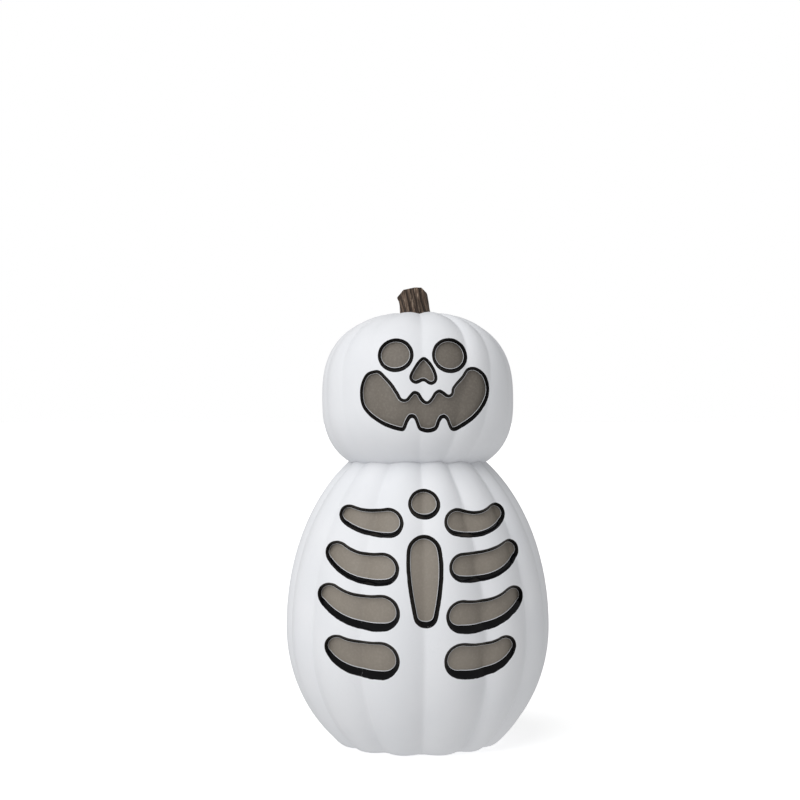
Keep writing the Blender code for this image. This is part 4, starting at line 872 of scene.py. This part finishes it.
def liner_material(name, tone):
    """Frosted taupe sheet: slow density clouds and a fine etched grain."""
    material, tree, shader = new_material(name, IOR=1.49)
    place = object_place(tree)
    mottle = use_group(tree, "mottle", place, 0.6)
    shade = span(tree, mottle["Clouds"], 0.25, 0.75)
    base = blend_colours(tree, shade, dim(tone, 0.93), dim(tone, 1.07))
    base = blend_colours(tree, span(tree, mottle["Grain"], 0.4, 0.75, 0.0, 0.12), base, (0.42, 0.39, 0.34))
    feed(tree, shader, mottle["Grain"], 0.2, 0.05 * MM, Base_Color=base,
         Roughness=uneven(tree, mottle, 0.48, 0.62))
    return material


def stem_material():
    """Painted bark: brown ridges, near-black grooves, and fibres that run up the stem."""
    paint = settings()[3]
    material, tree, shader = new_material("stem_bark", IOR=1.45)
    fibres = noise(tree, object_place(tree, (1, 1, 0.10)), 800.0, 4.0, 0.65)
    cracks = noise(tree, object_place(tree, (1, 1, 0.07)), 420.0, 3.0, 0.6)
    coarse = noise(tree, object_place(tree, (1, 1, 0.25)), 230.0, 3.0, 0.6)
    mottle = use_group(tree, "mottle", object_place(tree), 1.6)
    ridge = plus(tree, attribute(tree, "ridge"), times(tree, maths(tree, "SUBTRACT", coarse, 0.5), 0.7))
    ridge = times(tree, span(tree, ridge, 0.12, 0.72), span(tree, cracks, 0.36, 0.46))
    brown = blend_colours(tree, mottle["Blotches"], dim(paint.stem, 0.75), dim(paint.stem, 1.3))
    brown = blend_colours(tree, span(tree, fibres, 0.53, 0.64, 0.0, 0.85), brown, (0.38, 0.30, 0.23))
    base = blend_colours(tree, ridge, tuple(paint.groove), brown)
    height = plus(tree, times(tree, fibres, 0.6), times(tree, span(tree, cracks, 0.34, 0.5), 0.8))
    feed(tree, shader, height, 0.8, 0.5 * MM, Base_Color=base,
         Roughness=span(tree, fibres, 0.3, 0.7, 0.62, 0.85))
    return material


def moulded_material(name, tone, rough=0.5, grain=1.0, bump=0.35):
    """Moulded plastic: spark-eroded texture, paler rubbed patches and a few scratches."""
    material, tree, shader = new_material(name, IOR=1.5)
    place = object_place(tree)
    mottle = use_group(tree, "mottle", place, grain)
    scuffs = use_group(tree, "scuffs", place, 1.5)
    pale = tuple(min(1.0, c * 1.5 + 0.012) for c in tone)
    base = blend_colours(tree, span(tree, mottle["Clouds"], 0.3, 0.75, 0.0, 0.45), tone, pale)
    base = blend_colours(tree, times(tree, scuffs["Scratches"], 0.6), base,
                         tuple(min(1.0, c * 1.8 + 0.05) for c in tone))
    surface = plus(tree, times(tree, mottle["Grain"], 0.7), times(tree, mottle["Blotches"], 0.3))
    level = uneven(tree, mottle, rough - 0.06, rough + 0.08)
    level = maths(tree, "SUBTRACT", level, times(tree, scuffs["Patches"], 0.08))
    feed(tree, shader, surface, bump, 0.12 * MM, Base_Color=base, Roughness=level)
    return material


def metal_material(name, tone, rough=0.28, drawn=(1, 1, 1)):
    """Plated steel: drawn streaks, cloudy tarnish and bright scratches."""
    material, tree, shader = new_material(name, Metallic=1.0)
    place = object_place(tree)
    streak = noise(tree, object_place(tree, drawn), 1500.0, 3.0)
    mottle = use_group(tree, "mottle", place, 2.0)
    scuffs = use_group(tree, "scuffs", place, 4.0)
    base = blend_colours(tree, span(tree, mottle["Blotches"], 0.45, 0.75, 0.0, 0.6), tone, dim(tone, 0.62))
    base = blend_colours(tree, times(tree, scuffs["Scratches"], 0.7), base, (0.86, 0.86, 0.86))
    drawn_level = span(tree, streak, 0.3, 0.7, rough - 0.06, rough + 0.06)
    level = plus(tree, drawn_level, times(tree, mottle["Blotches"], 0.12))
    feed(tree, shader, streak, 0.15, 0.03 * MM, Base_Color=base, Roughness=level)
    return material


def cell_material():
    """Shrink-sleeved cell: dark green sleeve with a plain grey band round each end."""
    material, tree, shader = new_material("cell_sleeve", IOR=1.5)
    place = object_place(tree)
    along = add_node(tree, "ShaderNodeSeparateXYZ", {"Vector": place}).outputs["Y"]
    mottle = use_group(tree, "mottle", place, 1.5)
    band = span(tree, maths(tree, "ABSOLUTE", along), 14.0 * MM, 14.3 * MM)
    base = blend_colours(tree, band, (0.016, 0.060, 0.045), (0.34, 0.35, 0.36))
    base = blend_colours(tree, span(tree, mottle["Blotches"], 0.4, 0.8, 0.0, 0.3), base, (0.05, 0.05, 0.05))
    feed(tree, shader, mottle["Grain"], 0.15, 0.04 * MM, Base_Color=base,
         Roughness=uneven(tree, mottle, 0.25, 0.4))
    return material


def board_material():
    """Solder mask over copper tracks: a brick pattern shows the tracks a little lighter."""
    material, tree, shader = new_material("board_mask", IOR=1.5)
    place = object_place(tree)
    tracks = add_node(tree, "ShaderNodeTexBrick", {"Vector": place, "Scale": 260.0, "Mortar Size": 0.05,
                                                   "Mortar Smooth": 0.3}).outputs["Fac"]
    mottle = use_group(tree, "mottle", place, 2.0)
    base = blend_colours(tree, tracks, (0.010, 0.085, 0.030), (0.030, 0.190, 0.070))
    base = blend_colours(tree, span(tree, mottle["Blotches"], 0.4, 0.8, 0.0, 0.3), base, (0.02, 0.05, 0.02))
    feed(tree, shader, tracks, 0.4, 0.04 * MM, Base_Color=base, Roughness=uneven(tree, mottle, 0.3, 0.45))
    return material


def led_material():
    """Clear resin dome, warm, with cloudy phosphor inside."""
    material, tree, shader = new_material("led_resin", IOR=1.53, Transmission_Weight=0.5)
    mottle = use_group(tree, "mottle", object_place(tree), 3.0)
    base = blend_colours(tree, mottle["Blotches"], (0.92, 0.80, 0.45), (0.98, 0.93, 0.80))
    feed(tree, shader, mottle["Grain"], 0.1, 0.02 * MM, Base_Color=base,
         Roughness=uneven(tree, mottle, 0.08, 0.2))
    return material


def floor_material():
    """Matt pale paper with a faint tooth, a little brighter to the camera, and clear from below."""
    glow = (FLOOR_GLOW, FLOOR_GLOW, FLOOR_GLOW, 1.0)
    material, tree, shader = new_material("floor_paper", Emission_Color=glow)
    mottle = use_group(tree, "mottle", object_place(tree), 0.5)
    base = blend_colours(tree, mottle["Clouds"], (0.84, 0.84, 0.84), (0.86, 0.86, 0.86))
    feed(tree, shader, mottle["Grain"], 0.05, 0.1 * MM, Base_Color=base,
         Roughness=uneven(tree, mottle, 0.75, 0.85))
    seen = add_node(tree, "ShaderNodeLightPath").outputs["Is Camera Ray"]
    tree.links.new(seen, shader.inputs["Emission Strength"])
    clear = add_node(tree, "ShaderNodeBsdfTransparent")
    below = add_node(tree, "ShaderNodeNewGeometry").outputs["Backfacing"]
    both = add_node(tree, "ShaderNodeMixShader", {0: below, 1: shader.outputs[0], 2: clear.outputs[0]})
    tree.links.new(both.outputs[0], tree.nodes["Material Output"].inputs["Surface"])
    return material


# ---- building the pieces -------------------------------------------------------------------------


LINER_THICK = 1.2 * MM
BODY_LINER = (58 * MM, 224 * MM, 59.0)  # lower and upper edge, half angle in degrees
HEAD_LINER = (256 * MM, 343 * MM, 54.0)
BODY_ROWS, HEAD_ROWS = (150, 50), (120, 40)  # grid rows of the outer and inner skins
STEM_RADIUS = 12.1 * MM
STEM_FOOT = 352.0 * MM
STEM_LEAN = 4.0 * MM
STEM_SIDES = 264


def build_shell(name, pumpkin, windows, wall, rows, inner_rows, foot):
    bare = settings()[2].bare / MM
    made = shell_mesh(pumpkin, windows, wall, rows, inner_rows, foot, bare)
    points, quads, triangles, paint, bareness = made
    material = bpy.data.materials.get("shell_paint") or shell_material()
    return add_piece(name, points, quads.tolist() + triangles.tolist(), material, FIGURE, "shell_white",
                     (name.replace("_painted", ""),), 48.0, paint=paint, bare=bareness)


def build_liner(name, pumpkin, low, high, half_angle, inward, tone, replaces):
    """A sheet that follows the shell, creases and all, at a fixed distance inside it, with both faces and its
    edges closed."""
    across, rows = 150, 70
    azimuth = np.mod(np.radians(np.linspace(-half_angle, half_angle, across)), TAU)
    v = np.interp(np.linspace(low, high, rows), pumpkin.z, pumpkin.share).repeat(across)
    u = pumpkin.lobe_of(np.tile(azimuth, rows), v)
    layers = [pumpkin.placed(u, v, depth) for depth in (inward, inward + LINER_THICK)]
    faces = grid_faces(rows, across, closed=False)
    index = np.arange(rows * across).reshape(rows, across)
    border = np.concatenate([index[0], index[1:, -1], index[-1, -2::-1], index[-2:0:-1, 0]])
    shift = rows * across
    everything = np.vstack([faces, shift + faces[:, ::-1], ring_strip(border, shift + border)[:, ::-1]])
    return add_piece(name, np.vstack(layers), everything.tolist(), liner_material(name, tuple(tone)), FIGURE,
                     "liner_taupe", replaces)


def build_stem(head):
    """A fluted stalk. Its radius is R * (1 + flare(h) + lumps(angle, h) + ridges(angle, h)): the ridges are
    three cosines of the angle that twist and get shallower as they rise, and the flares are at the foot and
    under the cut. The cut is a tilted plane with two steeper corners, dished a little."""
    angle = np.linspace(0, TAU, STEM_SIDES, endpoint=False)
    rise = np.concatenate([np.linspace(0, 1, 44) ** 1.15, np.ones(5)])
    shrink = np.concatenate([np.ones(44), [0.955, 0.86, 0.6, 0.3, 0.04]])
    h, a = np.meshgrid(rise, angle, indexing="ij")
    twist = a + 0.22 * h + 0.07 * np.sin(2 * a + 1.0)
    wave = 0.5 * np.cos(12 * twist) + 0.3 * np.cos(19 * twist + 1.3) + 0.3 * np.cos(31 * twist + 0.4)
    ridge = np.clip(0.5 + 0.5 * wave / 0.8, 0, 1)
    flare = 0.11 * np.exp(-h / 0.22) + 0.03 * np.exp(-((h - 0.93) / 0.12) ** 2)
    lump = 0.02 * np.sin(3 * a + 5.0 * h) + 0.012 * np.sin(5 * a - 8.0 * h)
    radius = STEM_RADIUS * (1 + flare + lump + (0.10 - 0.03 * h) * (ridge - 0.75)) * shrink[:, None]
    across, deep = radius * np.sin(a), -radius * np.cos(a)
    top = HEIGHT - 0.4 * MM
    cut = top - 0.22 * np.clip(1.4 * MM - across, 0, 1) - 1.0 * np.clip(-7.6 * MM - across, 0, 1)
    cut -= 0.8 * np.clip(across - 7.2 * MM, 0, 1)
    dish = 1.2 * MM * (1 - (np.hypot(across, deep) / (11.5 * MM)) ** 2) * (shrink[:, None] < 1)
    seat = STEM_FOOT + 2.2 * MM * (radius / (12 * MM)) ** 2 + deep * math.tan(head.tilt)
    height = seat + (cut - seat) * h - dish
    lean = -0.4 * MM - STEM_LEAN * h
    forward = head.back + (STEM_FOOT + 2.0 * MM - head.pivot) * math.sin(head.tilt) - 1.0 * MM * h
    points = np.column_stack([(across + lean).ravel(), (deep + forward).ravel(), height.ravel()])
    rows = len(rise)
    foot = (lean[0, 0], forward[0, 0], STEM_FOOT - 2.0 * MM)
    tip = (lean[-1, 0], forward[-1, 0], points[-STEM_SIDES:, 2].mean())
    points = np.vstack([points, foot, tip])
    faces = grid_faces(rows, STEM_SIDES).tolist()
    first = np.arange(STEM_SIDES)
    last, middle = (rows - 1) * STEM_SIDES + first, np.full(STEM_SIDES, rows * STEM_SIDES)
    faces += np.column_stack([np.roll(first, -1), first, middle]).tolist()
    faces += np.column_stack([last, np.roll(last, -1), middle + 1]).tolist()
    worn = np.where(shrink[:, None] < 0.97, 0.55 + 0.25 * np.sin(9 * a) * np.cos(23 * shrink[:, None]), ridge)
    shade = np.concatenate([worn.ravel(), [0.5, 0.5]])
    return add_piece("stem_bark", points, faces, stem_material(), FIGURE, "stem_brown", ("stem",), 50.0,
                     ridge=shade)


def dress(names, material):
    """Gives CAD pieces their finish."""
    for name in names:
        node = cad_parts[name]
        node.data.materials.clear()
        node.data.materials.append(material)


def nodes_starting(*starts):
    return [name for name in sorted(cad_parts) if name.startswith(starts)]


# ---- stage ---------------------------------------------------------------------------------------


SUN_FROM = (-0.45, -0.47, 0.76)  # direction the key light comes from
SUN_SPREAD = math.radians(62)
SUN_STRENGTH = 1.72
WORLD_STRENGTH = 0.48
FLOOR_BOUNCE = 0.80  # light that comes up from below, as a pale floor sends it
REFLECTED_SHARE = 0.55  # of the room's light, in reflections
FLOOR_DROP = 0.05 * MM
FLOOR_GLOW = 0.5  # own light of the floor, seen by the camera only
STRIP_PLACE = (-0.95, -1.25, 0.95)
STRIP_AIM = (0, 0, 0.18)
STRIP_SIZE = (0.02, 1.3)
STRIP_POWER = 4.5
CAMERA_DISTANCE = 1.5
CAMERA_HEIGHT = 0.300
CAMERA_AZIMUTH = math.radians(-2.9)
VIEW_WIDTH = 0.6704  # metres across the picture at the figure's axis
VIEW_CENTRE = (-0.0147, 0.2864)  # right of the axis and height at the picture's middle


def add_floor():
    """A wide plane a hair below z = 0, clear of the foot's flat ring."""
    reach = np.linspace(-12.0, 12.0, 9)
    x, y = np.meshgrid(reach, reach)
    mesh = bpy.data.meshes.new("floor")
    points = np.column_stack([x.ravel(), y.ravel(), np.full(x.size, -FLOOR_DROP)])
    mesh.from_pydata(points.tolist(), [], grid_faces(len(reach), len(reach), closed=False).tolist())
    mesh.materials.append(floor_material())
    floor = bpy.data.objects.new("floor", mesh)
    bpy.context.scene.collection.objects.link(floor)
    # The floor only takes shadows, so the underside stays lit.
    floor.visible_diffuse = False
    floor.visible_glossy = False
    floor.visible_shadow = False


def add_world(scene):
    """Even studio light, brighter from below, with a white backdrop for the camera."""
    world = bpy.data.worlds.new("studio")
    world.use_nodes = True
    tree = world.node_tree
    room = tree.nodes["Background"]
    room.inputs["Color"].default_value = (1.0, 1.0, 1.0, 1.0)
    backdrop = add_node(tree, "ShaderNodeBackground", {"Color": (1.0, 1.0, 1.0, 1.0), "Strength": 1.0})
    path = add_node(tree, "ShaderNodeLightPath").outputs
    towards = add_node(tree, "ShaderNodeTexCoord").outputs["Generated"]
    up = add_node(tree, "ShaderNodeSeparateXYZ", {0: towards})
    strength = times(tree, span(tree, up.outputs["Z"], -0.05, 0.05, FLOOR_BOUNCE, WORLD_STRENGTH),
                     span(tree, path["Is Glossy Ray"], 0.0, 1.0, 1.0, REFLECTED_SHARE))
    tree.links.new(strength, room.inputs["Strength"])
    seen = path["Is Camera Ray"]
    both = add_node(tree, "ShaderNodeMixShader", {0: seen, 1: room.outputs[0], 2: backdrop.outputs[0]})
    tree.links.new(both.outputs[0], tree.nodes["World Output"].inputs["Surface"])
    scene.world = world
    scene.view_settings.view_transform = "Standard"


def add_key_light(scene):
    light = bpy.data.lights.new("key", "SUN")
    light.energy = SUN_STRENGTH
    light.angle = SUN_SPREAD
    key = bpy.data.objects.new("key", light)
    key.visible_glossy = False
    key.rotation_euler = Vector(SUN_FROM).to_track_quat("Z", "Y").to_euler()
    scene.collection.objects.link(key)


def add_strip_light(scene):
    """A tall narrow light whose reflection draws the thin highlights on the gloss."""
    light = bpy.data.lights.new("strip", "AREA")
    light.shape = "RECTANGLE"
    light.size, light.size_y = STRIP_SIZE
    light.energy = STRIP_POWER
    strip = bpy.data.objects.new("strip", light)
    strip.location = STRIP_PLACE
    away = Vector(STRIP_PLACE) - Vector(STRIP_AIM)
    strip.rotation_euler = away.to_track_quat("Z", "Y").to_euler()
    scene.collection.objects.link(strip)


def add_camera(scene):
    camera = bpy.data.cameras.new("camera")
    camera.sensor_width = 36.0
    camera.lens = 36.0 * CAMERA_DISTANCE / VIEW_WIDTH
    camera.clip_start, camera.clip_end = 0.05, 50.0
    obj = bpy.data.objects.new("camera", camera)
    obj.location = (CAMERA_DISTANCE * math.sin(CAMERA_AZIMUTH), -CAMERA_DISTANCE * math.cos(CAMERA_AZIMUTH),
                    CAMERA_HEIGHT)
    right, height = VIEW_CENTRE
    aim = Vector((right * math.cos(CAMERA_AZIMUTH), right * math.sin(CAMERA_AZIMUTH), height))
    obj.rotation_euler = (aim - obj.location).to_track_quat("-Z", "Y").to_euler()
    scene.collection.objects.link(obj)
    scene.camera = obj


# ---- operators -----------------------------------------------------------------------------------


class BuildBodyShell(bpy.types.Operator):
    """Builds the body shell with its chest windows"""

    bl_idname = "figure.body_shell"
    bl_label = "Body shell"

    def execute(self, context):
        body, _, windows, _ = settings()
        pumpkin = body_pumpkin()
        build_shell("body_shell_painted", pumpkin, body_windows(windows.lip / MM), body.wall, *BODY_ROWS,
                    [(r * MM, z * MM, share) for r, z, share in FOOT])
        return {"FINISHED"}


class BuildHeadShell(bpy.types.Operator):
    """Builds the head shell with its skull face"""

    bl_idname = "figure.head_shell"
    bl_label = "Head shell"

    def execute(self, context):
        _, head, windows, _ = settings()
        pumpkin = head_pumpkin(body_pumpkin())
        build_shell("head_shell_painted", pumpkin, head_windows(windows.lip / MM), head.wall, *HEAD_ROWS, ())
        return {"FINISHED"}


class BuildLiners(bpy.types.Operator):
    """Builds the frosted liners behind the windows"""

    bl_idname = "figure.liners"
    bl_label = "Liners"

    def execute(self, context):
        body, head, windows, paint = settings()
        chest = body_pumpkin()
        build_liner("body_liner_frosted", chest, *BODY_LINER, body.wall + windows.liner_gap, paint.liner,
                    ("body_diffuser",))
        face = head_pumpkin(chest)
        # The face liner takes the darker colour: painted shade on the same frosted sheet.
        build_liner("head_liner_frosted", face, *HEAD_LINER, head.wall + windows.liner_gap,
                    paint.shaded_face_liner, ("head_diffuser",))
        return {"FINISHED"}


class BuildStem(bpy.types.Operator):
    """Builds the fluted stem"""

    bl_idname = "figure.stem"
    bl_label = "Stem"

    def execute(self, context):
        build_stem(head_pumpkin(body_pumpkin()))
        return {"FINISHED"}


class FinishBase(bpy.types.Operator):
    """Gives the base plate, battery door, switch and screws their finishes"""

    bl_idname = "figure.base_finish"
    bl_label = "Base and battery door"

    def execute(self, context):
        tone = tuple(settings()[3].base)
        dress(["base_plate", "neck_shelf", "light_mast"], moulded_material("base_moulded", tone, 0.5))
        dress(["battery_door"], moulded_material("door_moulded", tuple(c * 1.15 for c in tone), 0.46, 1.2))
        dark = moulded_material("switch_moulded", (0.014, 0.014, 0.015), 0.4, 2.0)
        dress(["switch_housing", "timer_chip"], dark)
        dress(["switch_lever"], moulded_material("lever_moulded", (0.62, 0.62, 0.60), 0.42, 2.0, 0.2))
        screws = nodes_starting("base_screw", "board_screw", "door_screw")
        dress(screws, metal_material("screw_steel", (0.60, 0.60, 0.62), 0.3))
        dress(["hinge_pin"], metal_material("pin_steel", (0.62, 0.62, 0.64), 0.24, (0.05, 1, 1)))
        return {"FINISHED"}


class FinishLight(bpy.types.Operator):
    """Gives the cells, contacts, boards, lamps and leads their finishes"""

    bl_idname = "figure.light_finish"
    bl_label = "Cells and light"

    def execute(self, context):
        dress(nodes_starting("battery_1", "battery_2", "battery_3"), cell_material())
        dress(nodes_starting("contact_"), metal_material("contact_nickel", (0.66, 0.63, 0.57), 0.3))
        dress(["stem_clip"], metal_material("clip_steel", (0.58, 0.58, 0.60), 0.34))
        dress(["circuit_board", "head_board"], board_material())
        dress(nodes_starting("led_"), led_material())
        for tone_name, tone in (("red", (0.42, 0.012, 0.010)), ("black", (0.012, 0.012, 0.013))):
            leads = [name for name in nodes_starting("head_lead", "battery_lead", "switch_lead")
                     if name.endswith(tone_name)]
            dress(leads, moulded_material("lead_" + tone_name, tone, 0.36, 2.5, 0.15))
        return {"FINISHED"}


class BuildStage(bpy.types.Operator):
    """Adds the pale floor, the soft lights and the camera"""

    bl_idname = "figure.stage"
    bl_label = "Stage"

    def execute(self, context):
        scene = context.scene
        add_floor()
        add_world(scene)
        add_key_light(scene)
        add_strip_light(scene)
        add_camera(scene)
        return {"FINISHED"}


# ---- panel and registration ----------------------------------------------------------------------

OPERATORS = (BuildBodyShell, BuildHeadShell, BuildLiners, BuildStem, FinishBase, FinishLight, BuildStage)
GROUPS = (("figure_body", BodySettings), ("figure_head", HeadSettings), ("figure_windows", WindowSettings),
          ("figure_paint", PaintSettings))


class FigurePanel(bpy.types.Panel):
    """Lists the sizes, the colours and the building steps"""

    bl_idname = "VIEW3D_PT_skeleton_figure"
    bl_label = "Skeleton figure"
    bl_space_type = "VIEW_3D"
    bl_region_type = "UI"
    bl_category = "Skeleton figure"

    def draw(self, context):
        for name, group in GROUPS:
            box = self.layout.box()
            box.label(text=group.__doc__.rstrip("."))
            for key in group.__annotations__:
                box.prop(getattr(context.scene, name), key)
        for operator in OPERATORS:
            self.layout.operator(operator.bl_idname)


def register():
    for name, group in GROUPS:
        bpy.utils.register_class(group)
        setattr(bpy.types.Scene, name, PointerProperty(type=group))
    for cls in (*OPERATORS, FigurePanel):
        bpy.utils.register_class(cls)


def unregister():
    for cls in (FigurePanel, *reversed(OPERATORS)):
        bpy.utils.unregister_class(cls)
    for name, group in reversed(GROUPS):
        delattr(bpy.types.Scene, name)
        bpy.utils.unregister_class(group)


def main():
    register()
    bpy.ops.figure.body_shell()
    bpy.ops.figure.head_shell()
    bpy.ops.figure.liners()
    bpy.ops.figure.stem()
    bpy.ops.figure.base_finish()
    bpy.ops.figure.light_finish()
    bpy.ops.figure.stage()


if __name__ == "__main__":
    main()
